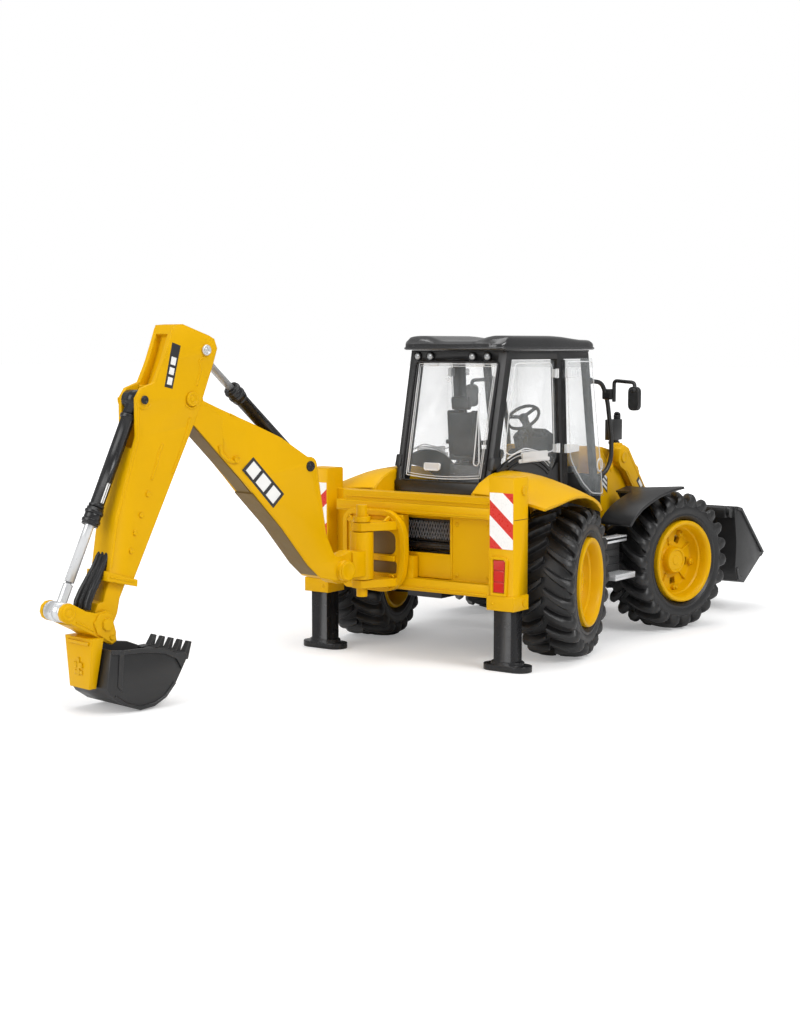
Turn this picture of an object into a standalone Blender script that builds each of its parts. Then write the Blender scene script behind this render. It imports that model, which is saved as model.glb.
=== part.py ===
"""Toy backhoe loader, 1:16, as an assembly of separate moulded parts.

Frame: metres, +X towards the front loader, +Y to the machine's left, +Z up.
The origin is the centre of the footprint on the ground. Inside this file the
shapes are drawn in millimetres in a working frame whose X = 0 lies near the
rear wheels, and ORIGIN moves them to the footprint's centre. The backhoe is
drawn in a frame of its own, on the slew axis, with X along the digging arm.
"""

import math
from functools import partial

import bmesh
import bpy
from mathutils import Matrix, Vector

# ---------------------------------------------------------------- shared dimensions, mm
MM = 0.001
ORIGIN = (25.964, -1.497, 0.0)  # working frame to part frame
GAP = 0.3  # running gap between neighbouring pieces

KING_Y = 62.0  # king pin to the centre line
AXLE_Z = 46.0
REAR_X = -5.6
FRONT_X = 133.3

CAB_HALF = 40.0
HINGE_SIDE = CAB_HALF + 1.7  # door hinge line to the centre line

BOTH_SIDES = (-1, 1)
LABELLED_SIDES = (("left", 1), ("right", -1))

FINISH = {
    "yellow": dict(colour=(0.87, 0.56, 0.0), roughness=0.35, metallic=0.0),
    "black": dict(colour=(0.035, 0.035, 0.037), roughness=0.4, metallic=0.0),
    "rubber": dict(colour=(0.02, 0.02, 0.021), roughness=0.7, metallic=0.0),
    "silver": dict(colour=(0.6, 0.6, 0.6), roughness=0.3, metallic=0.8),
    "clear": dict(colour=(0.85, 0.88, 0.9), roughness=0.05, metallic=0.0),
    "grey": dict(colour=(0.3, 0.3, 0.31), roughness=0.5, metallic=0.0),
}

# ---------------------------------------------------------------- clean scene
for old_object in list(bpy.data.objects):
    bpy.data.objects.remove(old_object, do_unlink=True)
for old_collection in list(bpy.data.collections):
    bpy.data.collections.remove(old_collection)

PARTS = bpy.data.collections.new("toy_backhoe_loader")
CUTTERS = bpy.data.collections.new("cutters")  # all Boolean tools, joined or cut
bpy.context.scene.collection.children.link(PARTS)
bpy.context.scene.collection.children.link(CUTTERS)
PIECES = []  # (object, parent empty or None)

# ---------------------------------------------------------------- frames
WORLD = Matrix.Scale(MM, 4) @ Matrix.Translation(Vector(ORIGIN))
WORKING = Matrix.Identity(4)
# drawing plane: its turn into the frame, and the direction of its thickness
PLANES = {
    "XZ": (Matrix.Rotation(math.radians(90), 4, "X"), Vector((0, 1, 0))),
    "YZ": (Matrix(((0, 0, 1, 0), (1, 0, 0, 0), (0, 1, 0, 0), (0, 0, 0, 1))), Vector((1, 0, 0))),
    "XY": (Matrix.Identity(4), Vector((0, 0, 1))),
}


# ---------------------------------------------------------------- spans and outlines
def around(centre, half):
    return (centre - half, centre + half)


def across(half):
    """A span centred on the centre line."""
    return (-half, half)


def on_side(side, near, far):
    """A span on the left (1) or right (-1) of the centre line."""
    return tuple(sorted((side * near, side * far)))


def to_side(points, side):
    """A plane outline with its second coordinate turned to the given side."""
    return [(first, side * second) for first, second in points]


def middle(span):
    return (span[0] + span[1]) / 2


def at_y(point, y=0.0):
    """An (x, z) point as a full point."""
    return (point[0], y, point[1])


def arc(centre, radius, start, stop, steps):
    """Points on an arc, with both ends; angles in degrees."""
    angles = [math.radians(start + (stop - start) * i / steps) for i in range(steps + 1)]
    return [(centre[0] + radius * math.cos(angle), centre[1] + radius * math.sin(angle))
            for angle in angles]


def direction_between(start, end):
    """Both (x, z) points as vectors, and the unit vector from the first to the second."""
    start, end = Vector(at_y(start)), Vector(at_y(end))
    return start, end, (end - start).normalized()


# ---------------------------------------------------------------- shape helpers
def new_mesh(draft, name):
    mesh = bpy.data.meshes.new(name)
    draft.to_mesh(mesh)
    draft.free()
    return mesh


def weld(draft):
    """Merges coincident points and turns the faces outwards."""
    bmesh.ops.remove_doubles(draft, verts=draft.verts, dist=1e-4)
    bmesh.ops.recalc_face_normals(draft, faces=draft.faces)


def take(mesh, name, matrix):
    """An object from a mesh in mm, with the matrix baked in, so its scale is one."""
    mesh.transform(matrix)
    obj = bpy.data.objects.new(name, mesh)
    CUTTERS.objects.link(obj)
    return obj


def box(name, x, y, z, frame=WORKING):
    """A block between two corners."""
    draft = bmesh.new()
    bmesh.ops.create_cube(draft, size=1.0)
    size = Matrix.Diagonal((abs(x[1] - x[0]), abs(y[1] - y[0]), abs(z[1] - z[0]), 1.0))
    centre = Vector((middle(x), middle(y), middle(z)))
    return take(new_mesh(draft, name), name, frame @ Matrix.Translation(centre) @ size)


def boxes(rows):
    return [box(*row) for row in rows]


def beam(name, low, high, size_low, size_high=None, frame=WORKING):
    """A post: a cube whose two ends are moved to two points and sized in x and y."""
    size_high = size_high or size_low
    draft = bmesh.new()
    bmesh.ops.create_cube(draft, size=1.0)
    for vert in draft.verts:
        end, size = (high, size_high) if vert.co.z > 0 else (low, size_low)
        vert.co = Vector((end[0] + vert.co.x * size[0], end[1] + vert.co.y * size[1], end[2]))
    return take(new_mesh(draft, name), name, frame)


def curve_mesh(name, curve):
    """A welded mesh of a curve; the curve is removed."""
    carrier = bpy.data.objects.new(name + "_outline", curve)
    CUTTERS.objects.link(carrier)
    bpy.context.view_layer.update()
    depsgraph = bpy.context.evaluated_depsgraph_get()
    mesh = bpy.data.meshes.new_from_object(carrier.evaluated_get(depsgraph))
    bpy.data.objects.remove(carrier, do_unlink=True)
    bpy.data.curves.remove(curve)
    draft = bmesh.new()
    draft.from_mesh(mesh)
    weld(draft)
    draft.to_mesh(mesh)
    draft.free()
    return mesh


def add_spline(curve, points):
    """A straight-sided spline through (x, y, z) points."""
    spline = curve.splines.new("POLY")
    spline.points.add(len(points) - 1)
    for spline_point, point in zip(spline.points, points):
        spline_point.co = (*point, 1.0)
    return spline


def plate(name, outline, span, plane="XZ", frame=WORKING):
    """A flat outline with its thickness between the two values of span."""
    curve = bpy.data.curves.new(name, "CURVE")
    curve.dimensions = "2D"
    curve.fill_mode = "BOTH"
    curve.extrude = abs(span[1] - span[0]) / 2
    add_spline(curve, [(*point, 0.0) for point in outline]).use_cyclic_u = True
    mesh = curve_mesh(name, curve)
    turn, thickness_axis = PLANES[plane]
    return take(mesh, name, frame @ Matrix.Translation(thickness_axis * middle(span)) @ turn)


def rod(name, start, end, radius, sides=16, frame=WORKING):
    """A round bar from start to end."""
    draft = bmesh.new()
    start, end = Vector(start), Vector(end)
    bmesh.ops.create_cone(
        draft, cap_ends=True, segments=sides, radius1=radius, radius2=radius,
        depth=(end - start).length,
    )
    turn = Vector((0, 0, 1)).rotation_difference(end - start).to_matrix().to_4x4()
    return take(new_mesh(draft, name), name,
                frame @ Matrix.Translation((start + end) / 2) @ turn)


def cross_rod(name, point, span, radius, sides, frame=WORKING):
    """A round bar parallel to Y through an (x, z) point."""
    return rod(name, at_y(point, span[0]), at_y(point, span[1]), radius, sides, frame)


def spin_profile(profile, steps):
    """A section (radius, height) turned about Z. One that ends on the axis stays open there."""
    draft = bmesh.new()
    verts = [draft.verts.new((radius, 0.0, height)) for radius, height in profile]
    on_axis = profile[0][0] < 1e-6 and profile[-1][0] < 1e-6
    for i in range(len(verts) - (1 if on_axis else 0)):
        draft.edges.new((verts[i], verts[(i + 1) % len(verts)]))
    bmesh.ops.spin(
        draft, geom=draft.verts[:] + draft.edges[:], cent=(0, 0, 0), axis=(0, 0, 1),
        steps=steps, angle=2 * math.pi, use_merge=True,
    )
    weld(draft)
    return draft


def turned(name, profile, steps, matrix):
    return take(new_mesh(spin_profile(profile, steps), name), name, matrix)


def combine(target, tools, operation):
    for i, tool in enumerate(tools):
        mod = target.modifiers.new(f"{operation.lower()}_{i}", "BOOLEAN")
        mod.operation = operation
        mod.solver = "EXACT"
        mod.object = tool
    return target


def join(target, *tools):
    return combine(target, tools, "UNION")


def cut(target, *tools):
    return combine(target, tools, "DIFFERENCE")


def pivot(name, point, frame=WORKING):
    """An empty on a joint's axis. The point is in the frame's millimetres."""
    empty = bpy.data.objects.new(name, None)
    empty.location = WORLD @ (frame @ Vector(point))
    empty.empty_display_size = 0.01
    PARTS.objects.link(empty)
    return empty


def material(name, colour, roughness, metallic):
    mat = bpy.data.materials.new(name)
    mat.use_nodes = True
    bsdf = mat.node_tree.nodes["Principled BSDF"]
    bsdf.inputs["Base Color"].default_value = (*colour, 1.0)
    bsdf.inputs["Roughness"].default_value = roughness
    bsdf.inputs["Metallic"].default_value = metallic
    return mat


def add_piece(obj, name, finish, parent=None, smooth=False):
    """Makes a finished shape a named part of the toy."""
    obj.name = name
    obj.data.name = name
    obj.data.materials.append(material(name + "_finish", **FINISH[finish]))
    CUTTERS.objects.unlink(obj)
    PARTS.objects.link(obj)
    PIECES.append((obj, parent))
    if smooth:
        obj.data.shade_smooth()


# ---------------------------------------------------------------- chassis
SPINE_FRONT = 172.0
# name, x, y, z
CHASSIS_BLOCKS = (
    ("deck", (61, 170.5), (-16, 16), (56, 80)),
    ("tank_r", (50, 77), (-60, -10), (44, 63.6)),
    ("tank_l", (50, 77), (10, 60), (44, 63.6)),
)
FRONT_BLOCKS = (
    ("nose", (SPINE_FRONT - 8, 181.5), (-21, 21), (52, 82)),
    ("tower_seat", (98, 124), (-28.6, 28.6), (60, 70)),  # carries the loader towers
)
FORK_HEIGHTS = ((30.5, 35.4), (56.6, 60.5))  # lower and upper prong
FORK_START_Y = 30.0
FORK_HALF = 5.5
FORK_EYE_R = 6.5
KING_BORE_R = 2.8


def build_axle(x):
    """Axle beam with a two-pronged fork at each end."""
    tools = [box("axle", around(x, 7), across(42), around(AXLE_Z, 6))]
    for side in BOTH_SIDES:
        for prong in FORK_HEIGHTS:
            tools.append(box("fork", around(x, FORK_HALF),
                             on_side(side, FORK_START_Y, KING_Y), prong))
            tools.append(rod("fork_eye", (x, side * KING_Y, prong[0]),
                             (x, side * KING_Y, prong[1]), FORK_EYE_R, 14))
        tools.append(box("fork_web", around(x, 4.9), on_side(side, 31.0, 41.6), (31.0, 60.0)))
    return tools


def build_chassis():
    spine = box("spine", (-51.6, SPINE_FRONT), across(12.5), (36, 58))
    tools = [*boxes(CHASSIS_BLOCKS), *build_axle(REAR_X), *build_axle(FRONT_X),
             *boxes(FRONT_BLOCKS)]
    bores = [
        rod("king_bore", (x, side * KING_Y, 26), (x, side * KING_Y, 66), KING_BORE_R)
        for x in (REAR_X, FRONT_X) for side in BOTH_SIDES
    ]
    add_piece(cut(join(spine, *tools), *bores), "chassis_frame", "black")


# ---------------------------------------------------------------- wheels
# end, axle x, steering angle: rear wheels turned to the left, front wheels to the right
WHEEL_ENDS = (
    ("rear", REAR_X, math.radians(14.2)),
    ("front", FRONT_X, math.radians(-14.2)),
)
KING_TO_WHEEL = 8.0
TYRE_R = 46.0
TYRE_HALF = 18.5
LUGS = 22  # per side of the tyre
SHOULDER_LUG_R = 42.6
LUG_DROP = 0.8  # lug faces away from the middle lie this much lower
CHEVRON_TWIST = 0.017  # radians for each mm from the middle
RIM_R = 27.2

# radius, distance from the tyre's middle plane
TYRE_PROFILE = (
    (27.5, 17.0), (27.5, -17.0), (37.5, -TYRE_HALF), (41.0, -16.2), (42.0, -1.0),
    (42.0, 1.0), (41.0, 16.2), (37.5, TYRE_HALF),
)
# radius, distance outwards: deep dish with a closed hub cap
RIM_PROFILE = (
    (0.0, 11.0), (7.4, 11.0), (8.8, 9.4), (8.8, 5.0), (20.4, 3.6), (24.4, 18.0),
    (RIM_R, 18.0), (RIM_R, -16.5), (25.5, -16.5), (25.2, -4.0), (20.0, 1.2), (6.5, 1.2),
    (6.5, -2.0), (3.5, -2.0), (3.5, 8.0), (0.0, 8.0),
)
RIM_WINDOWS = 5

# Front fender, in the wheel's frame: along the heading, height above the axle
FENDER_LINE = (
    (-54.8, 28.2), (-50.0, 33.5), (-44.0, 38.2), (-36.0, 42.2), (-27.0, 45.7),
    (-15.0, 48.7), (-3.0, 50.2),
)
FENDER_THICK = 1.6
FENDER_BLADE = ((-24.0, 45.4), (-13.0, 48.1), (4.2, 17.0), (4.2, 15.6), (-4.2, 15.6),
                (-4.2, 17.0))
FENDER_BRIDGE = ((-25.0, 44.9), (-25.0, 46.1), (-14.0, 48.7), (-14.0, 47.5))
# along the heading, outwards
FENDER_NOSE_CUT = ((-0.8, 28.0), (-16.0, -1.6), (6.0, -1.6), (6.0, 28.0))


def wheel_frame(side, x, steer):
    """Local Z points outwards along the stub axle, local X is the heading."""
    heading = Vector((math.cos(steer), math.sin(steer), 0))
    outward = Vector((math.sin(steer), -math.cos(steer), 0)) * -side
    turn = Matrix((heading, outward.cross(heading), outward)).transposed().to_4x4()
    return Matrix.Translation((x, side * KING_Y, AXLE_Z)) @ turn


def lug_faces(draft):
    """Every other tread face on each side, grouped into lugs."""
    step = math.pi / LUGS
    groups = {}
    for face in draft.faces:
        centre = face.calc_center_median()
        if math.hypot(centre.x, centre.y) < 38.0 or abs(centre.z) < 1.0:
            continue
        slot = int(math.floor((math.atan2(centre.y, centre.x) % (2 * math.pi)) / step))
        half = 1 if centre.z > 0 else 0
        if slot % 2 == half:
            groups.setdefault((slot, half), []).append(face)
    return groups


def lug_radius(from_middle):
    if from_middle >= TYRE_HALF - 0.5:
        return SHOULDER_LUG_R
    return TYRE_R - LUG_DROP if from_middle > 1.5 else TYRE_R


def build_tyre(matrix):
    """Carcass turned from its section, then every other tread face drawn out as a lug."""
    draft = spin_profile(TYRE_PROFILE, 2 * LUGS)
    groups = lug_faces(draft)
    for key in sorted(groups):
        made = bmesh.ops.extrude_face_region(draft, geom=groups[key])
        for vert in made["geom"]:
            if isinstance(vert, bmesh.types.BMVert):
                radius = math.hypot(vert.co.x, vert.co.y)
                target = lug_radius(abs(vert.co.z))
                vert.co.x *= target / radius
                vert.co.y *= target / radius
        bmesh.ops.delete(draft, geom=groups[key], context="FACES_ONLY")
    # chevron: both halves of the tread sweep round with distance from the middle
    for vert in draft.verts:
        if math.hypot(vert.co.x, vert.co.y) > 30:
            turn = CHEVRON_TWIST * max(0.0, abs(vert.co.z) - 1.0)
            x, y = vert.co.x, vert.co.y
            vert.co.x = x * math.cos(turn) - y * math.sin(turn)
            vert.co.y = x * math.sin(turn) + y * math.cos(turn)
    bmesh.ops.recalc_face_normals(draft, faces=draft.faces)
    return take(new_mesh(draft, "tyre"), "tyre", matrix)


def build_knuckle(side, x, frame):
    """King pin, boss and stub axle in one piece."""
    y = side * KING_Y
    pin = rod("pin", (x, y, 28.5), (x, y, 61.0), 2.4, 12)
    boss = rod("boss", (x, y, 35.8), (x, y, 56.2), 5.2, 12)
    stub = rod("stub", (0, 0, 2), (0, 0, KING_TO_WHEEL + 7.0), 3.2, 12, frame)
    collar = rod("collar", (0, 0, 2), (0, 0, KING_TO_WHEEL - 2.3), 4.6, 12, frame)
    return join(boss, pin, stub, collar)


def build_rim(at_wheel):
    rim = turned("rim", RIM_PROFILE, 24, at_wheel)
    windows = []
    for k in range(RIM_WINDOWS):
        turn = Matrix.Rotation(math.radians(360 / RIM_WINDOWS * k + 18), 4, "Z")
        local = at_wheel @ turn @ Matrix.Translation((15.0, 0, 2.5))
        windows.append(box("window", across(2.3), across(2.0), across(5), local))
    return cut(rim, *windows)


def build_front_fender(frame, side):
    up = -side  # local Y is up on the right side and down on the left
    inner = [(along + 0.9, height - FENDER_THICK) for along, height in reversed(FENDER_LINE)]
    shell = plate("fender", to_side([*FENDER_LINE, *inner], up), (-0.7, 26.5), "XY", frame)
    # the front edge runs inwards and back from a point at the outer side
    nose = plate("nose_cut", FENDER_NOSE_CUT, (up * 40, up * 60), "XZ", frame)
    cut(shell, nose)
    # bracket: foot over the king pin, blade up the inner side of the tyre, bridge across it
    foot = box("foot", across(4.5), on_side(up, 15.3, 17.4), (-13.9, 3.0), frame)
    blade = plate("blade", to_side(FENDER_BLADE, up), (-14.2, -11.8), "XY", frame)
    bridge = plate("bridge", to_side(FENDER_BRIDGE, up), (-14.0, 4.0), "XY", frame)
    return join(shell, bridge, blade, foot)


def build_wheels():
    for end, x, steer in WHEEL_ENDS:
        for label, side in LABELLED_SIDES:
            frame = wheel_frame(side, x, steer)
            hub = (0, 0, KING_TO_WHEEL)
            at_wheel = frame @ Matrix.Translation(hub)
            king_pin = pivot(f"{end}_{label}_king_pin", (x, side * KING_Y, AXLE_Z))
            axle = pivot(f"{end}_{label}_axle", hub, frame)
            add_piece(build_knuckle(side, x, frame), f"knuckle_{end}_{label}", "black",
                      king_pin, smooth=True)
            add_piece(build_tyre(at_wheel), f"tyre_{end}_{label}", "rubber", axle, smooth=True)
            add_piece(build_rim(at_wheel), f"rim_{end}_{label}", "yellow", axle, smooth=True)
            if end == "front":
                add_piece(build_front_fender(frame, side), f"front_fender_{label}", "black",
                          king_pin)


# ---------------------------------------------------------------- rear frame, stabilisers
COLUMN_X = (-71.7, -55.7)
COLUMN_Y = (59.4, 76.2)
COLUMN_TOP = 113.0
COLUMN_LOW = 35.9
RAIL_X = -72.2
LEG = 12.0  # side of the square leg
# name, x, y, z
REAR_FRAME_BLOCKS = (
    ("rail_top_upper", (-70.4, -61), (-60, 48.0), (93.5, 101.0)),
    ("rail_top_lower", (RAIL_X, -61), (-60, 52.0), (88.6, 95.0)),
    ("rail_low", (RAIL_X, -61), (-60, 52.0), (42.8, 50.2)),
    ("cheek", (-66.0, -61), (-60, -28.4), (49, 90)),
    ("tie_r", (-58, -52), (-13, 13), (44, 60)),
)


def build_rear_frame():
    back = box("back", (-62.0, -57.6), across(60), (43.5, 100.6))
    cut(back, box("window", (-70, -50), across(28.0), (64.2, 85.6)))
    tools, bores = boxes(REAR_FRAME_BLOCKS), []
    bore_half = LEG / 2 + GAP
    for side in BOTH_SIDES:
        y = on_side(side, *COLUMN_Y)
        tools.append(box("column", COLUMN_X, y, (COLUMN_LOW + 1, COLUMN_TOP)))
        tools.append(box("collar", (COLUMN_X[0] - 0.9, COLUMN_X[1] - 0.4),
                         (y[0] - 0.9, y[1] + 0.9), (COLUMN_LOW, 44.6)))
        bores.append(box("bore", around(middle(COLUMN_X), bore_half),
                         around(middle(y), bore_half), (20, 106)))
    add_piece(cut(join(back, *tools), *bores), "rear_frame", "yellow")


def build_rear_grille():
    grille = box("grille", (-57.2, -55.4), across(27.5), (66.5, 88))
    pipe = cross_rod("pipe", (-58.6, 69.3), across(27.3), 2.4, 12)
    add_piece(join(grille, pipe), "rear_grille", "black")


def build_stabilisers():
    def round_ended(x, y, offset, radius, steps):
        return (arc((x, y + offset), radius, 0, 180, steps)
                + arc((x, y - offset), radius, 180, 360, steps))

    for label, side in LABELLED_SIDES:
        x, y = middle(COLUMN_X), side * middle(COLUMN_Y)
        empty = pivot(f"stabiliser_{label}", (x, y, 40))
        leg = box("leg", around(x, LEG / 2), around(y, LEG / 2), (1.5, 74.0))
        pad = plate("pad", round_ended(x, y, 8.3, 7.3, 8), (0.0, 3.6), "XY")
        rim = plate("foot_rim", round_ended(x, y, 3.5, 6.9, 6), (3.0, 5.4), "XY")
        add_piece(join(leg, pad, rim), f"stabiliser_leg_{label}", "black", empty)


# ---------------------------------------------------------------- rear body
# x, height at the inner edge, height of the outer lip
CROWN = (
    (-54.5, 101.5, 95.0), (-46.0, 107.5, 95.6), (-36.0, 111.2, 96.8), (-26.0, 113.0, 98.4),
    (-16.0, 113.2, 99.4), (-6.0, 112.0, 99.0), (3.0, 109.4, 96.8), (11.0, 105.2, 93.4),
    (17.5, 100.0, 89.8), (22.5, 94.8, 86.6),
)
CROWN_FRONT = CROWN[-1][0]
CROWN_INNER_Y = 36.0
SKIN_COLUMNS = (36.3, 46.0, 55.0, 63.0, 70.0, 76.5, 82.5, 87.0)  # y stations
SKIN_WALL = 1.8
# x, z
INNER_WALL_FOOT = ((22.5, 70.0), (18.0, 70.0), (10.0, 93.0), (-54.3, 94.8))
MOUNT_HALF = 11.0


def crown(x, y=CROWN_INNER_Y):
    """Height of the fender's skin at a point."""
    for (x0, top0, lip0), (x1, top1, lip1) in zip(CROWN, CROWN[1:]):
        if x <= x1 or x1 == CROWN_FRONT:
            share = (x - x0) / (x1 - x0)
            top, lip = top0 + share * (top1 - top0), lip0 + share * (lip1 - lip0)
            break
    outwards = max(0.0, (abs(y) - CROWN_INNER_Y) / 52.0)
    return lip + (top - lip) * (1 - outwards ** 1.8)


def fender_skin(side):
    last_row, last_column = len(CROWN) - 1, len(SKIN_COLUMNS) - 1
    draft = bmesh.new()
    bmesh.ops.create_grid(draft, x_segments=last_row, y_segments=last_column, size=0.5)
    for vert in draft.verts:
        row = round((vert.co.x + 0.5) * last_row)
        column = round((vert.co.y + 0.5) * last_column)
        x = CROWN[row][0]
        y = SKIN_COLUMNS[column]
        if column == last_column and x > 0:
            y -= (x / CROWN_FRONT) ** 2 * 5.0  # the outer edge draws in at the front
        vert.co = Vector((x, side * y, crown(x, y)))
    bmesh.ops.recalc_face_normals(draft, faces=draft.faces)
    # an open sheet may come out either way up
    if sum(face.normal.z for face in draft.faces) < 0:
        bmesh.ops.reverse_faces(draft, faces=draft.faces)
    skin = take(new_mesh(draft, "skin"), "fender_skin", WORKING)
    solid = skin.modifiers.new("wall", "SOLIDIFY")
    solid.thickness = SKIN_WALL
    solid.offset = -1.0
    solid.use_even_offset = True
    solid.use_rim = True
    return skin


def build_rear_body():
    deck = box("deck", (-54.3, 44), across(37.2), (94.6, 98.0))
    wall = [(x, crown(x) - 0.5) for x, _, _ in CROWN] + [*INNER_WALL_FOOT]
    tools = []
    for side in BOTH_SIDES:
        tools.append(fender_skin(side))
        tools.append(plate("inner_wall", wall, on_side(side, 35.6, 38.2)))
    tools.append(box("mount", (-51.6, -40), across(MOUNT_HALF), (58.4, 96)))
    tools.append(box("mount2", (20, 40), across(MOUNT_HALF), (58.4, 96)))
    add_piece(join(deck, *tools), "rear_body_shell", "yellow")


# ---------------------------------------------------------------- cab
CAB_REAR = (-34.5, 34.8, 101.9)  # lower rear corner
CAB_REAR_TOP = (-15.0, 35.7, 185.3)
POST_TOP = 185.0
HEADER_Z = (180.5, 186.0)
SIDE_POSTS = (  # name, foot, head, size in x and y; y is turned to each side
    ("c_post", (CAB_REAR[0] + 3.2, CAB_REAR[1] - 3.0, 98.5),
     (CAB_REAR_TOP[0] + 3.2, CAB_REAR_TOP[1] - 3.0, POST_TOP), (6.4, 6.0)),
    ("b_post", (49.3, CAB_HALF - 2.5, 67.0), (41.2, CAB_HALF - 2.5, POST_TOP), (8.0, 5.0)),
    ("a_post", (95.8, CAB_HALF - 2.0, 64.0), (75.0, CAB_HALF - 2.0, POST_TOP), (4.2, 4.0)),
)
# x, distance from the centre line: from the rear corner to the B post and the A post
SIDE_HEADER = ((-14.8, 30.5), (-14.8, 35.7), (40.0, CAB_HALF), (77.0, CAB_HALF),
               (77.0, 35.5), (41.0, 35.0))
QUARTER_X = (-30.0, -20.0, -10.0, 0.0, 8.0, 14.0, 19.0, 22.4)  # stations along the crown
QUARTER_FRONT = ((23.4, 94.6), (26.0, 88.0), (26.0, 67.0), (46.0, 67.0), (46.0, 117.0))
ARCH_CENTRE = (2.0, 70.0)  # x, z of the arc between quarter panel and side pane
CONSOLE = ((-2.0, 99.0), (20.0, 99.0), (20.0, 124.0), (4.0, 124.0), (-2.0, 116.0))
# name, x, y, z
CAB_BLOCKS = (
    ("sill_rear", (-34.3, -28.5), (-34.8, 34.8), (98.4, 105.4)),
    ("head_front", (73.0, 77.0), across(CAB_HALF), HEADER_Z),
    ("dash_wall", (93.6, 96.4), across(CAB_HALF - 0.4), (80.5, 104.0)),
    ("floor_high", (-32, 22), (-34.0, 34.0), (98.4, 100.4)),
    ("riser", (20.4, 26.5), (-35.0, 35.0), (82.6, 100.1)),
    ("floor_low", (25.0, 95), (-37.9, 37.9), (82.2, 84.3)),
    ("seat_box", (-8, 18), (-11, 11), (99, 114.5)),
)
# room for the rear body shell
CAB_CLEARANCES = (
    ("deck_clear", (-60, 44.6), (-37.6, 37.6), (90, 98.4)),
    ("mount_clear", (19.5, 40.5), across(MOUNT_HALF + 0.4), (50, 97)),
)

# x, half width
ROOF_HALF_PLAN = ((-23.5, 33.0), (-20.5, 37.6), (30.0, 41.0), (80.0, 41.0), (87.5, 37.5),
                  (88.0, 30.0))

# x, z of the panes
WINDSCREEN = ((92.4, 104.8), (77.6, 179.8), (76.0, 179.8), (90.8, 104.8))
SIDE_PANE = ((-24.0, 122.8), (-11.5, 180.0), (36.4, 180.0), (40.9, 122.0), (40.9, 118.6))
DOOR = ((45.0, 181.0), (50.5, 117.0), (57.0, 108.5), (68.0, 98.5), (80.0, 91.0),
        (96.4, 89.6), (94.0, 104.0), (79.2, 181.0))
DOOR_HINGE_X = 44.0
DOOR_HINGE_HEIGHTS = (171.5, 123.5)
REAR_GLASS_Z = (106.2, 178.3)


def cab_side(side):
    """Posts, header, sill and quarter panel of one side."""
    tools = []
    for name, foot, head, size in SIDE_POSTS:
        low, high = ((x, side * y, z) for x, y, z in (foot, head))
        tools.append(beam(name, low, high, size))
    tools.append(plate("side_head", to_side(SIDE_HEADER, side), HEADER_Z, "XY"))
    tools.append(box("sill", (46, 98), on_side(side, 34.0, CAB_HALF), (64.0, 69.0)))
    # the quarter panel's lower edge follows the fender's crown
    quarter = [(x, crown(x) + 0.6) for x in QUARTER_X] + [*QUARTER_FRONT]
    quarter += arc(ARCH_CENTRE, 52.5, 50, 125, 8)
    tools.append(plate("quarter", quarter, on_side(side, 35.9, 38.2)))
    tools.append(beam("quarter_tie", (-28.0, side * 34.6, 113.8), (-26.0, side * 34.6, 121.0),
                      (8.0, 3.9)))
    return tools


def build_cab_frame():
    header = box("head_rear", (-15.0, -10.0), across(35.7), (179.0, 186.0))
    tools = cab_side(-1) + cab_side(1) + boxes(CAB_BLOCKS)
    tools.append(plate("console", CONSOLE, (-33.0, -27.0)))
    clearances = boxes(CAB_CLEARANCES)
    for side in BOTH_SIDES:
        clearances.append(box("arch_clear", (-60, 24.6), on_side(side, 35.2, 60), (60, 93.6)))
    add_piece(cut(join(header, *tools), *clearances), "cab_frame", "black")


def build_roof():
    plan = [*ROOF_HALF_PLAN, *to_side(reversed(ROOF_HALF_PLAN), -1)]
    roof = plate("roof", plan, (186.3, 194.8), "XY")
    mod = roof.modifiers.new("edge", "BEVEL")
    mod.width = 2.6
    mod.segments = 2
    mod.limit_method = "ANGLE"
    mod.angle_limit = math.radians(50)
    add_piece(roof, "cab_roof", "black")


def build_windscreen():
    pane = plate("wind", WINDSCREEN, across(35.0))
    header_room = box("wc", (60, 77.2), across(50), (170, 190))
    add_piece(cut(pane, header_room), "windscreen", "clear")


def build_side_window(label, side):
    outline = [*SIDE_PANE, *arc(ARCH_CENTRE, 53.3, 51, 117, 8)]
    pane = plate("side_pane", outline, on_side(side, 36.9, 38.1))
    post_room = box("pc", (-40, -14.9), on_side(side, 30, 35.9), (100, 190))
    add_piece(cut(pane, post_room), f"side_window_{label}", "clear")


def build_door(label, side):
    """Pane outside the posts, with its two hinge barrels at the B post."""
    hinge_y = side * HINGE_SIDE
    empty = pivot(f"door_{label}_hinge", (DOOR_HINGE_X, hinge_y, 140))
    pane = plate("door_pane", DOOR, on_side(side, CAB_HALF + 0.4, CAB_HALF + 1.8))
    tools = []
    for z in DOOR_HINGE_HEIGHTS:
        tools.append(rod("barrel", (DOOR_HINGE_X, hinge_y, z - 3.2),
                         (DOOR_HINGE_X, hinge_y, z + 3.2), 1.25, 10))
        tools.append(box("strap", (DOOR_HINGE_X, DOOR_HINGE_X + 16.0),
                         on_side(side, HINGE_SIDE - 0.7, HINGE_SIDE + 0.9), around(z, 2.4)))
    knob_span = (side * (CAB_HALF + 1.2), side * (CAB_HALF + 5.0))
    tools.append(cross_rod("knob", (90.0, 110.0), knob_span, 2.2, 10))
    add_piece(join(pane, *tools), f"door_{label}", "clear", empty)


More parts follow.
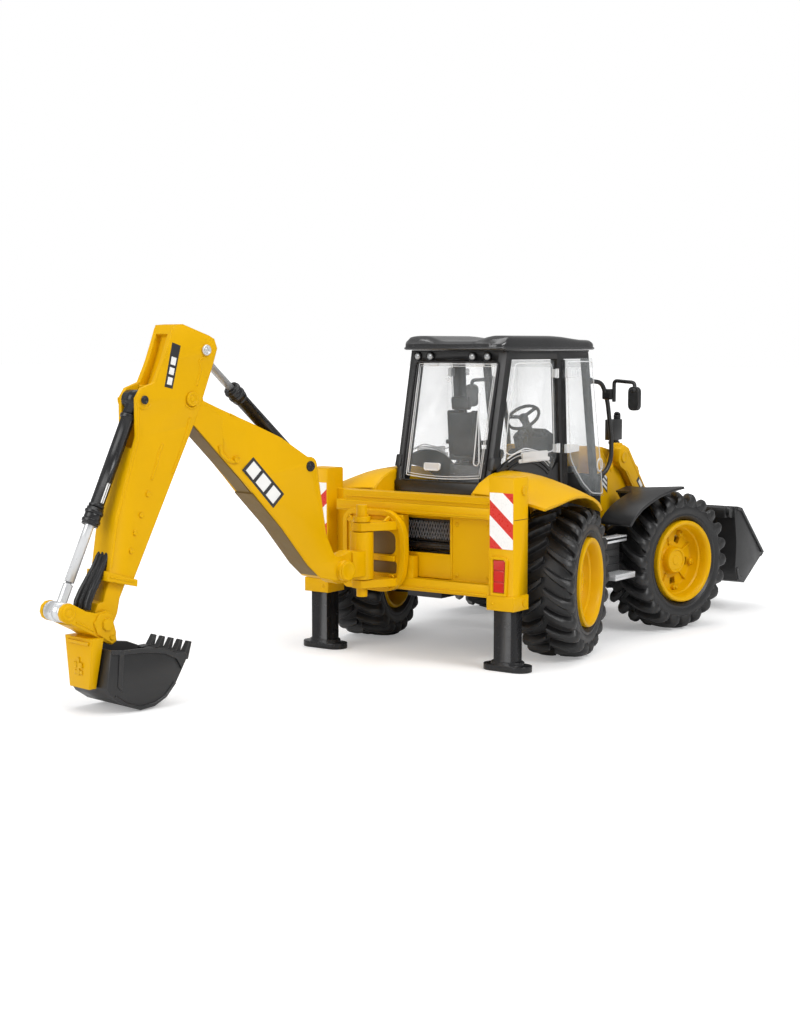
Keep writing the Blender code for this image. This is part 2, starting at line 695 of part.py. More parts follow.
def build_rear_window():
    """Leaning pane hung from its top edge."""
    empty = pivot("rear_window_hinge", (-16.4, 0, 177.6))
    lean = (CAB_REAR_TOP[0] - CAB_REAR[0]) / (CAB_REAR_TOP[2] - CAB_REAR[2])

    def rear_x(z):
        return CAB_REAR[0] + (z - CAB_REAR[2]) * lean

    low, high = ((rear_x(z) + 1.6, 0, z) for z in REAR_GLASS_Z)
    glass = beam("glass", low, high, (1.5, 56.4), (1.5, 58.6))
    handle = beam("handle", (rear_x(113) - 0.2, 4.0, 111.5), (rear_x(115) - 0.2, 4.0, 114.5),
                  (2.6, 12.0))
    add_piece(join(glass, handle), "rear_window", "clear", empty)


def build_cab():
    build_cab_frame()
    build_roof()
    build_windscreen()
    for label, side in LABELLED_SIDES:
        build_side_window(label, side)
        build_door(label, side)
    build_rear_window()


# ---------------------------------------------------------------- cab interior
SEAT_X = 6.0
# x, z
DASH = ((74.0, 84.6), (93.3, 84.6), (90.6, 103.5), (86.0, 127.0), (74.0, 131.5),
        (70.0, 128.5), (76.0, 112.0))
STEERING_CENTRE = (62.0, 0.0, 142.0)
STEERING_AXIS = (-0.66, 0.0, 0.75)
STEERING_RING_R = 11.0


def build_seat():
    empty = pivot("seat_swivel", (SEAT_X, 0, 115))
    cushion = box("cushion", (-7, 20), across(11.5), (117.0, 122.5))
    back = beam("back", (-5.5, 0, 120.0), (-10.5, 0, 148.0), (5.0, 23.0), (4.0, 19.0))
    post = rod("swivel", (SEAT_X, 0, 114.9), (SEAT_X, 0, 118), 5.0, 12)
    arms = [box("arm", (-7.6, 10), on_side(side, 10.3, 13.5), (127.0, 129.6))
            for side in BOTH_SIDES]
    add_piece(join(cushion, back, post, *arms), "seat", "black", empty)


def build_dashboard():
    """Dashboard with the steering column's stub."""
    dash = plate("dash", DASH, across(13.0))
    column = rod("column", (76.0, 0, 126.0), (64.4, 0, 139.2), 2.6, 10)
    add_piece(join(dash, column), "dashboard", "black")


def build_steering_wheel():
    axis = Vector(STEERING_AXIS).normalized()
    tilt = Vector((0, 0, 1)).rotation_difference(axis).to_matrix().to_4x4()
    frame = Matrix.Translation(STEERING_CENTRE) @ tilt
    empty = pivot("steering_wheel_axis", STEERING_CENTRE)
    ring = turned("ring", arc((STEERING_RING_R, 0.0), 1.1, 0, 300, 5), 20, frame)
    hub = rod("hub", (0, 0, -2.6), (0, 0, 1.0), 3.0, 10, frame)
    spokes = [
        box("spoke", (0.0, STEERING_RING_R - 0.4), across(1.0), across(0.7),
            frame @ Matrix.Rotation(math.radians(angle), 4, "Z"))
        for angle in (90, 210, 330)
    ]
    add_piece(join(ring, hub, *spokes), "steering_wheel", "black", empty)


# ---------------------------------------------------------------- rails and mirrors
# x, distance from the centre line, z
RAIL_RUN = (
    (82.6, 37.7, 166.0), (95.0, 40.3, 164.9), (102.5, 40.5, 153.0), (105.6, 40.5, 140.0),
    (108.8, 40.5, 125.0), (108.6, 40.3, 113.0), (104.0, 39.4, 105.6), (97.5, 38.0, 101.9),
)
MIRROR_HINGE = (100.0, 46.8)  # x, distance from the centre line
MIRROR_HEAD = (97.0, 63.6)
# corner centre (y, z) and start angle of each rounded corner
HOUSING_CORNERS = (((2.4, 5.6), 0), ((-2.4, 5.6), 90), ((-2.4, -5.6), 180), ((2.4, -5.6), 270))


def build_grab_rail(label, side):
    """Round rail with the mirror's clamp."""
    curve = bpy.data.curves.new("rail", "CURVE")
    curve.dimensions = "3D"
    curve.bevel_depth = 1.5
    curve.bevel_resolution = 1
    curve.use_fill_caps = True
    add_spline(curve, [(x, side * y, z) for x, y, z in RAIL_RUN])
    rail = take(curve_mesh("rail", curve), "rail", WORKING)
    clamp = box("clamp", (97.8, 102.4), on_side(side, 39.0, 45.2), (153.5, 160.5))
    add_piece(join(rail, clamp), f"grab_rail_{label}", "black")


def build_mirror(label, side):
    """Mirror on its arm, which folds about the clamp."""
    x, y = MIRROR_HINGE[0], side * MIRROR_HINGE[1]
    head_x, head_y = MIRROR_HEAD[0], side * MIRROR_HEAD[1]
    empty = pivot(f"mirror_{label}_hinge", (x, y, 158))
    post = rod("post", (x, y, 152.0), (x, y, 167.4), 1.35, 10)
    arm = rod("arm", (x + 0.05, y, 165.9), (97.05, side * 63.5, 164.7), 1.0, 8)
    drop = rod("drop", (head_x, head_y, 166.2), (head_x, head_y, 158.0), 1.3, 10)
    frame = (Matrix.Translation((head_x, head_y, 154.5))
             @ Matrix.Rotation(math.radians(12 * side), 4, "Z"))
    outline = []
    for centre, start in HOUSING_CORNERS:
        outline += arc(centre, 2.2, start, start + 90, 3)
    housing = plate("housing", outline, across(1.5), "YZ", frame)
    add_piece(join(housing, post, arm, drop), f"mirror_{label}", "black", empty)


# ---------------------------------------------------------------- engine and bonnet
# x, z
BONNET = ((98.6, 82.6), (98.6, 121.0), (130, 120.0), (168, 112.0), (184, 103.0),
          (187.5, 92.0), (187.5, 82.6))
BONNET_HOLLOW = ((100.4, 70.0), (100.4, 119.0), (130, 118.0), (167.5, 110.2),
                 (182.6, 101.8), (185.7, 92.0), (185.7, 70.0))
BONNET_HALF = 21.5
BONNET_WALL = 1.8
STACK_Y = -25.4


def build_engine():
    block = box("block", (112, 150), across(11), (80.4, 98))
    head = box("head", (116, 146), across(7), (97, 105))
    fan = rod("fan", (149, 0, 92), (156, 0, 92), 8.5)
    ports = [cross_rod("port", (x, 93), across(14), 2.2, 8) for x in (120, 128, 136, 144)]
    add_piece(join(block, head, fan, *ports), "engine_block", "grey")


def build_bonnet():
    """Hollow shell, open below, hinged at its rear edge."""
    empty = pivot("bonnet_hinge", (98.6, 0, 119.5))
    inner = across(BONNET_HALF - BONNET_WALL)
    shell = plate("bonnet", BONNET, across(BONNET_HALF))
    hollow = plate("hollow", BONNET_HOLLOW, inner)
    rear = box("rear_open", (90, 101), inner, (70, 108))
    slots = [box("slot", (180, 190), across(16), (z, z + 2.0)) for z in (85.5, 89.5, 93.5)]
    add_piece(cut(shell, hollow, rear, *slots), "bonnet", "yellow", empty)


def build_exhaust():
    """Upright pipe and can to the right of the bonnet."""
    stack = rod("stack", (140.0, STACK_Y, 70.8), (140.0, STACK_Y, 126.0), 3.2, 12)
    foot = box("stack_foot", (132, 148), (-28.9, -22.0), (66.6, 72.0))
    can_outline = (arc((144.0, STACK_Y), 3.6, -90, 90, 5)
                   + arc((134.5, STACK_Y), 3.6, 90, 270, 5))
    can = plate("can", can_outline, (124.5, 138.5), "XY")
    bracket = box("stack_arm", (130, 150), (-28.4, -16.4), (62.0, 68.0))
    add_piece(join(can, stack, foot, bracket), "exhaust_stack", "black")


# ---------------------------------------------------------------- towers and steps
# x, z
TOWER = (
    (99.0, 70.4), (97.6, 101.0), (97.0, 121.5), (104.0, 121.5), (119.5, 106.0),
    (127.4, 123.0), (134.6, 123.0), (140.5, 104.0), (150.0, 95.0), (141.0, 84.0),
    (124.0, 80.0), (122.0, 62.0), (104.0, 62.0),
)
STEP_X = (50.5, 77)
STEP_INNER_Y = 60.4
# name, outer y, z
STEPS = (
    ("step_low", 76.5, (40.2, 43.2)),
    ("step_top", 70.0, (63.4, 66.4)),
    ("step_back", 62.6, (40.2, 66.4)),
)


def build_tower(label, side):
    tower = plate("tower", TOWER, on_side(side, 29.6, 35.2))
    add_piece(tower, f"loader_tower_{label}", "yellow")


def build_steps(label, side):
    shapes = [box(name, STEP_X, on_side(side, STEP_INNER_Y, outer), z)
              for name, outer, z in STEPS]
    add_piece(join(*shapes), f"steps_{label}", "silver")


# ---------------------------------------------------------------- loader
# joints as x, z
ARM_PIN = (127.0, 114.0)
BUCKET_JOINT = (206.0, 59.0)
LIFT_BASE = (112.0, 66.0)
LIFT_ROD = (160.0, 78.0)
ARM_Y = (35.6, 40.2)
# x, z
LIFT_ARM = (
    (120.0, 112.0), (121.5, 119.5), (127.5, 122.0), (134.0, 119.5), (158.0, 92.0),
    (186.0, 72.0), (205.0, 66.0), (211.0, 60.0), (207.0, 53.6), (200.0, 53.0),
    (182.0, 57.0), (164.0, 72.0), (148.0, 84.5), (130.0, 104.0), (122.0, 108.0),
)
FRONT_BUCKET_HALF = 84.0
FRONT_BUCKET = ((221.0, 74.5), (213.5, 76.0), (211.0, 70.0), (214.5, 50.0), (213.0, 31.0),
                (217.0, 22.5), (228.0, 20.0), (260.5, 39.0))
FRONT_BUCKET_HOLLOW = ((225.0, 76.0), (213.6, 72.0), (216.8, 50.0), (215.4, 32.0),
                       (219.0, 24.8), (227.4, 22.6), (264.0, 44.0))
BUCKET_EAR = ((216.0, 70.0), (216.0, 44.0), (206.0, 54.5), (202.0, 59.0), (206.0, 63.5))
# name, x, y, z
BUCKET_TUBES = (
    ("top_tube", (203.0, 214.0), (-80.0, -48.0), (68.5, 75.5)),
    ("top_tube2", (203.0, 214.0), (48.0, 80.0), (68.5, 75.5)),
)


def build_loader_arms():
    """Two side members joined by a cross tube, pivoting on the towers."""
    empty = pivot("lift_arm_pivot", at_y(ARM_PIN))
    right = plate("arm_r", LIFT_ARM, on_side(-1, *ARM_Y))
    left = plate("arm_l", LIFT_ARM, ARM_Y)
    tube = box("cross", (188.5, 197.0), across(37.5), (57.5, 65.0))
    clevis = arc((LIFT_ROD[0] - 0.6, LIFT_ROD[1] - 0.6), 7.4, 0, 330, 11)
    slots = [plate("clevis", clevis, on_side(side, 36.5, 39.3)) for side in BOTH_SIDES]
    add_piece(cut(join(right, left, tube), *slots), "loader_arms", "yellow", empty)


def build_front_bucket():
    empty = pivot("front_bucket_pivot", at_y(BUCKET_JOINT))
    bucket = plate("bucket", FRONT_BUCKET, across(FRONT_BUCKET_HALF))
    hollow = plate("hollow", FRONT_BUCKET_HOLLOW, across(FRONT_BUCKET_HALF - 2.2))
    ears = [plate("ear", BUCKET_EAR, on_side(side, *span))
            for side in BOTH_SIDES for span in ((31.6, 35.2), (40.7, 43.7))]
    add_piece(join(cut(bucket, hollow), *ears, *boxes(BUCKET_TUBES)), "front_bucket",
              "black", empty)


def build_lift_cylinder(label, side):
    """Barrel and rod between chassis and arm, in the arm's middle plane."""
    y = side * middle(ARM_Y)
    base, end = Vector(at_y(LIFT_BASE, y)), Vector(at_y(LIFT_ROD, y))
    heading = (end - base).normalized()
    empty = pivot(f"lift_cylinder_{label}_base", base)
    eye = cross_rod("eye", LIFT_BASE, around(y, 2.2), 3.4, 12)
    barrel = rod("barrel", base, base + heading * 32.0, 2.6, 14)
    bore = rod("bore", base + heading * 5.0, base + heading * 40.0, 1.5, 12)
    add_piece(cut(join(eye, barrel), bore), f"lift_barrel_{label}", "black", empty)
    ram = rod("ram", base + heading * 12.0, end, 1.1, 10)
    tip = cross_rod("tip", LIFT_ROD, around(y, 1.1), 2.2, 12)
    add_piece(join(tip, ram), f"lift_rod_{label}", "silver", empty)


def build_front():
    build_engine()
    build_bonnet()
    build_exhaust()
    for label, side in LABELLED_SIDES:
        build_tower(label, side)
        build_steps(label, side)
    build_loader_arms()
    build_front_bucket()
    for label, side in LABELLED_SIDES:
        build_lift_cylinder(label, side)


# ---------------------------------------------------------------- backhoe frame
SLEW = (-94.0, 16.0)  # x, y of the slew axis in the working frame
SLEW_FRAME = (Matrix.Translation((*SLEW, 0.0))
              @ Matrix.Rotation(math.radians(171.0), 4, "Z"))
slew_box = partial(box, frame=SLEW_FRAME)
slew_beam = partial(beam, frame=SLEW_FRAME)
slew_plate = partial(plate, frame=SLEW_FRAME)
slew_rod = partial(rod, frame=SLEW_FRAME)
slew_cross_rod = partial(cross_rod, frame=SLEW_FRAME)
slew_pivot = partial(pivot, frame=SLEW_FRAME)

# pins: distance out from the slew axis, z
BOOM_PIN = (22.7, 58.4)
DIPPER_CYLINDER_BASE = (48.5, 120.7)
ELBOW = (133.5, 160.8)
DIPPER_CYLINDER_ROD = (123.6, 186.7)
BUCKET_CYLINDER_BASE = (164.8, 161.0)
BUCKET_PIN = (191.6, 46.5)
BUCKET_CYLINDER_ROD = (214.5, 54.5)

# ---------------------------------------------------------------- carriage, swing post
# y, z
CARRIAGE_BACK = (
    (43.0, 44.0), (41.0, 42.0), (12.0, 41.0), (4.0, 43.0), (-1.5, 50.0), (-3.5, 64.0),
    (-3.0, 77.0), (1.0, 86.0), (9.0, 90.5), (38.0, 90.5), (43.0, 86.0),
)
# x, y
CARRIAGE_LUG = ((-73.5, 2.0), (-82.0, 3.5), (-96.0, 10.0), (-99.5, 13.0), (-99.5, 19.0),
                (-96.0, 22.0), (-82.0, 34.0), (-73.5, 38.0))
CARRIAGE_LUG_HEIGHTS = ((45.4, 50.2), (79.4, 84.4))
# name, foot z, head z, radius
SWING_RODS = (
    ("post", 50.7, 78.9, 7.0),
    ("pin", 44.0, 86.5, 3.0),
    ("cap", 84.8, 88.0, 5.2),
)


def build_carriage():
    """Side-shift carriage: back plate with two lugs round the slew post."""
    empty = pivot("side_shift", (-76.0, 20.0, 65))
    back = plate("back", CARRIAGE_BACK, (-77.5, -72.8), "YZ")
    guide = box("guide", (-73.5, -66.8), (1.0, 39.0), (50.9, 88.0))
    lugs = [plate("lug", CARRIAGE_LUG, z, "XY") for z in CARRIAGE_LUG_HEIGHTS]
    bore = rod("slew_bore", (*SLEW, 40), (*SLEW, 95), 3.3)
    add_piece(cut(join(back, guide, *lugs), bore), "side_shift_carriage", "yellow", empty)


def build_swing_post():
    empty = slew_pivot("slew_axis", (0, 0, 65))
    post, pin, cap = (slew_rod(name, (0, 0, low), (0, 0, high), radius)
                      for name, low, high, radius in SWING_RODS)
    neck = slew_box("neck", (3.0, 13.5), across(6.3), (53.0, 68.0))
    outline = [(8.0, 52.6), (8.0, 68.0), (13.0, 68.6), *arc(BOOM_PIN, 8.2, 100, -100, 8),
               (17.0, 50.6), (13.0, 52.0)]
    tongue = slew_plate("tongue", outline, across(5.0))
    add_piece(join(post, pin, cap, neck, tongue), "swing_post", "yellow", empty)


# ---------------------------------------------------------------- boom
BOOM_HALF = 8.0
BOOM_TIP_HALF = 6.2
# distance out, z
BOOM = (
    (41.0, 55.8), (20.0, 50.8), *arc(BOOM_PIN, 7.4, 250, 118, 5),
    (29.6, 67.5), (36.0, 80.0), (43.2, 120.5), *arc(DIPPER_CYLINDER_BASE, 5.4, 175, 75, 4),
    (70.5, 137.9), (124.0, 159.6), (126.0, 166.6), (133.0, 167.8), (139.0, 164.6),
    (140.5, 158.6), (137.0, 153.0), (132.0, 147.8), (98.3, 115.4), (70.0, 86.6),
    (50.5, 64.0),
)
# cutter name, half width, outline as distance out, z
BOOM_CUTS = (
    ("foot_slot", 5.4, ((5, 44), (5, 70.6), (26.0, 70.6), (31.8, 66.0), (33.0, 54.0),
                        (30.0, 40.0))),
    ("top_slot", 5.2, ((38.0, 110.6), (38.0, 130.0), (52.0, 150.0), (92.0, 160.0),
                       (84.0, 139.0), (66.0, 122.0), (52.0, 110.0))),
    ("belly", 6.2, ((52.0, 50.0), (48.0, 62.0), (60.0, 88.0), (98.0, 128.0),
                    (124.0, 150.0), (140.0, 140.0), (100.0, 90.0))),
)
# distance out, distance from the middle plane
TIP_WEDGE = ((92.0, BOOM_HALF + 0.05), (112.0, BOOM_TIP_HALF), (150.0, BOOM_TIP_HALF),
             (150.0, 14), (92.0, 14))


def build_boom():
    """Two side members with a web, forked at the foot and narrowed at the tip."""
    empty = slew_pivot("boom_foot", at_y(BOOM_PIN))
    boom = slew_plate("boom", BOOM, across(BOOM_HALF))
    cutters = [slew_plate(name, outline, across(half)) for name, half, outline in BOOM_CUTS]
    cutters += [slew_plate("tip_cut", to_side(TIP_WEDGE, side), (100, 190), "XY")
                for side in BOTH_SIDES]
    bosses = [slew_cross_rod("foot_boss", BOOM_PIN, (side * 7.0, side * 11.0), 6.0, 16)
              for side in BOTH_SIDES]
    pins = [slew_cross_rod("base_pin", DIPPER_CYLINDER_BASE, (side * 5.0, side * 8.4), 2.2, 12)
            for side in BOTH_SIDES]
    add_piece(join(cut(boom, *cutters), *bosses, *pins), "boom", "yellow", empty)


# ---------------------------------------------------------------- dipper
DIPPER_HALF = 8.0
DIPPER_INNER = DIPPER_HALF - 1.5  # inside of the cheeks
# distance out, z
DIPPER = (
    (173.6, 66.8), (132.5, 146.8), (125.9, 161.0), (118.3, 179.8), (115.6, 187.6),
    (117.5, 192.6), (121.0, 194.4), (138.8, 200.4), (144.6, 200.0), (152.0, 181.0),
    (157.5, 170.0), (166.0, 167.0), (169.4, 162.0), (169.4, 141.8), (184.0, 100.3),
    (188.4, 72.6),
)
# cutter name, half width, outline as distance out, z
DIPPER_CUTS = (
    ("open_top", DIPPER_INNER, (
        (100.0, 184.0), (104.0, 196.5), (122.0, 196.5), (138.0, 197.6), (146.5, 179.5),
        (150.5, 168.0), (151.0, 158.0), (156.0, 142.0), (153.0, 132.0), (140.4, 131.0),
        (120.0, 140.0))),
    ("top_mouth", DIPPER_INNER, ((110, 188.0), (117.5, 196.8), (128.0, 196.8), (122, 180))),
    ("rear_slot", 5.4, ((156.0, 190.0), (151.0, 186.0), (158.4, 168.5), (158.8, 150.0),
                        (163.5, 136.0), (180.0, 136.0), (190.0, 190.0))),
)
DIPPER_FLANGE = ((171.6, 67.6), (171.9, 64.0), (190.6, 68.6), (189.9, 73.6))
# (distance out, z), radius
DIPPER_STUDS = ((ELBOW, 3.4), (DIPPER_CYLINDER_ROD, 2.7), (BUCKET_CYLINDER_BASE, 2.0))
# distance from the elbow towards the bucket pin, offset away from the boom
CHANNEL = ((26, -4.9), (26, 5.7), (130, 5.7), (130, -4.9))
EXTENSION = (
    (62, -4.5), (62, 5.3), (112, 5.3), (118, 4.2), (120.0, 7.0), (127, 7.0), (133.4, 4.0),
    (134.6, 0.0), (133.0, -4.0), (128.0, -6.6), (120.0, -6.6), (112, -4.5),
)


def down_dipper(points):
    """Points along the line from elbow to bucket pin, as (distance out, z)."""
    elbow, _, axis = direction_between(ELBOW, BUCKET_PIN)
    sideways = Vector((-axis.z, 0, axis.x))
    placed = [elbow + axis * distance + sideways * offset for distance, offset in points]
    return [(point.x, point.z) for point in placed]


def build_dipper():
    """Two cheeks, a web and a closed lower box that carries the telescopic tongue."""
    empty = slew_pivot("elbow", at_y(ELBOW))
    dipper = slew_plate("dipper", DIPPER, across(DIPPER_HALF))
    cutters = [slew_plate(name, outline, across(half)) for name, half, outline in DIPPER_CUTS]
    cutters.append(slew_plate("channel", down_dipper(CHANNEL), across(6.1)))
    flange = slew_plate("flange", DIPPER_FLANGE, across(9.4))
    studs = [
        slew_cross_rod("stud", point,
                       (side * (DIPPER_INNER + 0.3), side * (DIPPER_HALF + 1.0)), radius, 14)
        for point, radius in DIPPER_STUDS for side in BOTH_SIDES
    ]
    add_piece(join(cut(join(dipper, flange), *cutters), *studs), "dipper", "yellow", empty)


def build_dipper_extension():
    """Telescopic tongue."""
    empty = slew_pivot("dipper_slide", at_y(BUCKET_PIN))
    tongue = slew_plate("tongue", down_dipper(EXTENSION), across(5.7))
    add_piece(tongue, "dipper_extension", "yellow", empty)


# ---------------------------------------------------------------- hitch and bucket
# distance out, z
HITCH_LEVER = (
    (185.6, 41.6), (185.8, 36.8), (188.6, 35.4), (194.0, 38.2), (201.0, 42.6),
    (212.5, 48.6), *arc(BUCKET_CYLINDER_ROD, 5.2, -75, 105, 5),
    (204.0, 54.4), (197.0, 52.6), (191.5, 53.4), (188.6, 52.2),
)
HITCH_PIN_ROOM = ((180.0, 39.4), (180.0, 60.0), (201.4, 60.0), (200.2, 45.4), (194.0, 39.4))
HOE_BUCKET_HALF = 17.0
HOE_BUCKET = (
    (194.5, 34.0), (186.0, 33.0), (172.8, 32.6), (160.0, 30.6), (146.2, 25.0),
    (148.6, 19.0), (153.6, 11.0), (160.0, 4.4), (167.0, 1.2), (176.5, 0.4), (186.0, 3.8),
    (193.6, 8.9), (197.2, 14.0),
)
HOE_BUCKET_HOLLOW = (
    (192.4, 50.0), (192.5, 32.0), (194.7, 16.0), (185.0, 6.6), (176.0, 3.4), (168.0, 4.2),
    (162.4, 7.0), (156.4, 13.2), (151.0, 21.2), (148.4, 28.6), (140.0, 50.0),
)
TOOTH_PITCH = 7.15


def build_bucket_hitch():
    """Lever with cheeks outside the tongue, and the bracket behind the bucket."""
    empty = slew_pivot("bucket_pivot", at_y(BUCKET_PIN))
    lever = slew_plate("lever", HITCH_LEVER, across(9.2))
    eye_centre = (BUCKET_CYLINDER_ROD[0] + 1.0, BUCKET_CYLINDER_ROD[1])
    eye_room = slew_plate("eye_room", arc(eye_centre, 10.2, 0, 330, 11), across(6.9))
    pin_room = slew_plate("pin_room", HITCH_PIN_ROOM, across(6.1))
    bracket = slew_beam("bracket", (200.4, 0, 13.6), (199.0, 0, 40.0), (4.4, 17.0), (7.2, 24.0))
    pins = [slew_cross_rod("hitch_pin", BUCKET_PIN, (side * 6.3, side * 10.0), 3.0, 14)
            for side in BOTH_SIDES]
    add_piece(join(cut(lever, eye_room, pin_room), bracket, *pins), "bucket_hitch", "yellow",
              empty)
    return empty


def build_hoe_bucket(empty):
    """Hollow bucket with five teeth; it turns with the hitch."""
    shell = slew_plate("shell", HOE_BUCKET, across(HOE_BUCKET_HALF))
    hollow = slew_plate("hollow", HOE_BUCKET_HOLLOW, across(HOE_BUCKET_HALF - 1.8))
    teeth = []
    for k in range(-2, 3):
        y = k * TOOTH_PITCH
        teeth.append(slew_beam("tooth", (147.4, y, 23.2), (143.2, y, 31.4), (2.8, 3.6),
                               (1.2, 1.8)))
    add_piece(join(cut(shell, hollow), *teeth), "backhoe_bucket", "black", empty)


# ---------------------------------------------------------------- backhoe cylinders
def build_dipper_cylinder():
    """Barrel pinned in the boom, rod reaching the dipper's head."""
    base, end, heading = direction_between(DIPPER_CYLINDER_BASE, DIPPER_CYLINDER_ROD)
    empty = slew_pivot("dipper_cylinder_base", base)
    eye = slew_cross_rod("eye", DIPPER_CYLINDER_BASE, across(4.0), 4.4, 14)
    barrel = slew_rod("barrel", base, base + heading * 62.0, 3.7)
    gland = slew_rod("gland", base + heading * 60.0, base + heading * 68.0, 4.5)
    bore = slew_rod("bore", base + heading * 8.0, base + heading * 80.0, 2.6, 14)
    add_piece(cut(join(barrel, eye, gland), bore), "dipper_cylinder_barrel", "black", empty,
              smooth=True)
    ram = slew_rod("ram", base + heading * 34.0, end, 2.2, 14)
    tip = slew_cross_rod("tip", DIPPER_CYLINDER_ROD, across(3.4), 3.3, 14)
    add_piece(join(tip, ram), "dipper_cylinder_rod", "silver", empty, smooth=True)


def build_bucket_cylinder():
    """Cylinder in two stages: barrel, hollow tube and rod."""
    base, end, heading = direction_between(BUCKET_CYLINDER_BASE, BUCKET_CYLINDER_ROD)
    empty = slew_pivot("bucket_cylinder_base", base)
    eye = slew_cross_rod("eye", BUCKET_CYLINDER_BASE, across(4.8), 5.2, 16)
    barrel = slew_rod("barrel", base, base + heading * 62.0, 3.75)
    gland = slew_rod("gland", base + heading * 61.0, base + heading * 70.0, 4.5)
    bore = slew_rod("bore", base + heading * 8.0, base + heading * 90.0, 2.9, 14)
    add_piece(cut(join(barrel, eye, gland), bore), "bucket_cylinder_barrel", "black", empty,
              smooth=True)
    tube = slew_rod("tube", base + heading * 26.0, end - heading * 16.0, 2.6, 14)
    tube_bore = slew_rod("tube_bore", base + heading * 20.0, end + heading * 3.0, 1.9, 12)
    add_piece(cut(tube, tube_bore), "bucket_cylinder_tube", "silver", empty, smooth=True)
    ram = slew_rod("ram", end - heading * 62.0, end, 1.6, 12)
    tip = slew_cross_rod("tip", BUCKET_CYLINDER_ROD, across(6.5), 4.9, 16)
    neck = slew_rod("neck", end - heading * 15.0, end, 2.2, 12)
    add_piece(join(tip, neck, ram), "bucket_cylinder_rod", "silver", empty, smooth=True)


def build_backhoe():
    build_carriage()
    build_swing_post()
    build_boom()
    build_dipper()
    build_dipper_extension()
    bucket_pivot = build_bucket_hitch()
    build_hoe_bucket(bucket_pivot)
    build_dipper_cylinder()
    build_bucket_cylinder()


# ---------------------------------------------------------------- place in metres
def scale_to_metres():
    """Moves shapes and modifier lengths from working millimetres to metres."""
    for helper in CUTTERS.objects:
        helper.hide_render = True
        helper.display_type = "WIRE"
    for obj in [*CUTTERS.objects, *(piece for piece, _ in PIECES)]:
        obj.data.transform(WORLD)
        for mod in obj.modifiers:
            if mod.type == "BEVEL":
                mod.width *= MM
            elif mod.type == "SOLIDIFY":
                mod.thickness *= MM


def attach_to_pivots():
    """Gives each moving piece its origin on its joint's axis."""
    for obj, parent in PIECES:
        if parent is not None:
            obj.data.transform(Matrix.Translation(-parent.matrix_world.translation))
            obj.parent = parent


build_chassis()
build_wheels()
build_rear_frame()
build_rear_grille()
build_stabilisers()
build_rear_body()
build_cab()
build_seat()
build_dashboard()
build_steering_wheel()
for side_label, side_sign in LABELLED_SIDES:
    build_grab_rail(side_label, side_sign)
    build_mirror(side_label, side_sign)
build_front()
build_backhoe()

scale_to_metres()
bpy.context.view_layer.update()
attach_to_pivots()
bpy.context.view_layer.update()
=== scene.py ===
"""Toy backhoe loader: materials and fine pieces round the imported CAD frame, floor, light, camera.

Shapes are drawn in millimetres in a working frame: X = 0 near the rear wheels, +X towards the
loader bucket at the front, +Y to the machine's left, Z up from the floor. BASE carries that frame
into the scene in metres. The digging arm has its own frame, ARM, whose origin is on the slew hinge
behind the machine and whose +X points away from it, along the arm.
"""

import math

import bmesh
import bpy
from mathutils import Matrix, Vector

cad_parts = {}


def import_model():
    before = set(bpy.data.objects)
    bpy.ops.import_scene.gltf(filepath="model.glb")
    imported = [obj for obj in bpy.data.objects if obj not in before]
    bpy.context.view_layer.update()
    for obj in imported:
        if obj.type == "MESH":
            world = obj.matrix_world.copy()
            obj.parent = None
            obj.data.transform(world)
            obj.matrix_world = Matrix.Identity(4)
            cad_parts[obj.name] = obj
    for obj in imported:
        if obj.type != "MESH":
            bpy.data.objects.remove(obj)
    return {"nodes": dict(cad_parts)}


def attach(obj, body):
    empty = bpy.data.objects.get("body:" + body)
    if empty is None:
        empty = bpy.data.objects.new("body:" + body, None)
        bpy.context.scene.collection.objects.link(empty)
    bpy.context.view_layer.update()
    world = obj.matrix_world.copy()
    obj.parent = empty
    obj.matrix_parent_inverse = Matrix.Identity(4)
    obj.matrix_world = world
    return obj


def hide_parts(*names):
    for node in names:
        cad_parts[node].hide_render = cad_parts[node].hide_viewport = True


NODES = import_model()["nodes"]
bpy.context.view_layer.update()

# ---------------------------------------------------------------- frames
ORIGIN = Vector((25.964, -1.497, 0.0))
SLEW_X, SLEW_Y = -94.0, 16.0
BASE = Matrix.Scale(0.001, 4) @ Matrix.Translation(ORIGIN)
ARM = (BASE @ Matrix.Translation((SLEW_X, SLEW_Y, 0.0))
       @ Matrix.Rotation(math.radians(171), 4, "Z"))

# Planes for flat outlines
XZ = Matrix.Rotation(math.radians(90), 4, "X")  # thickness towards -Y
YZ = Matrix(((0, 0, 1, 0), (1, 0, 0, 0), (0, 1, 0, 0), (0, 0, 0, 1)))
XY = Matrix.Identity(4)

REARWARD = (-1, 0, 0)
SIDES = (("left", 1), ("right", -1))

AXLE_X = {"rear": -5.6, "front": 133.3}
AXLE_Z = 46.0
STEER = {"rear": math.radians(14.2), "front": math.radians(-14.2)}
KING_Y = 62.0
KING_TO_WHEEL = 8.0


def wheel_frame(end, side):
    """Frame at a wheel's middle, with local Z along the axle and away from the machine."""
    angle = STEER[end]
    heading = Vector((math.cos(angle), math.sin(angle), 0))
    outward = Vector((math.sin(angle), -math.cos(angle), 0)) * -side
    turn = Matrix((heading, outward.cross(heading), outward)).transposed().to_4x4()
    king = Matrix.Translation((AXLE_X[end], side * KING_Y, AXLE_Z))
    return BASE @ king @ turn @ Matrix.Translation((0, 0, KING_TO_WHEEL))


# ---------------------------------------------------------------- material tools
def new_material(name):
    mat = bpy.data.materials.new(name)
    mat.use_nodes = True
    return mat, mat.node_tree, mat.node_tree.nodes["Principled BSDF"]


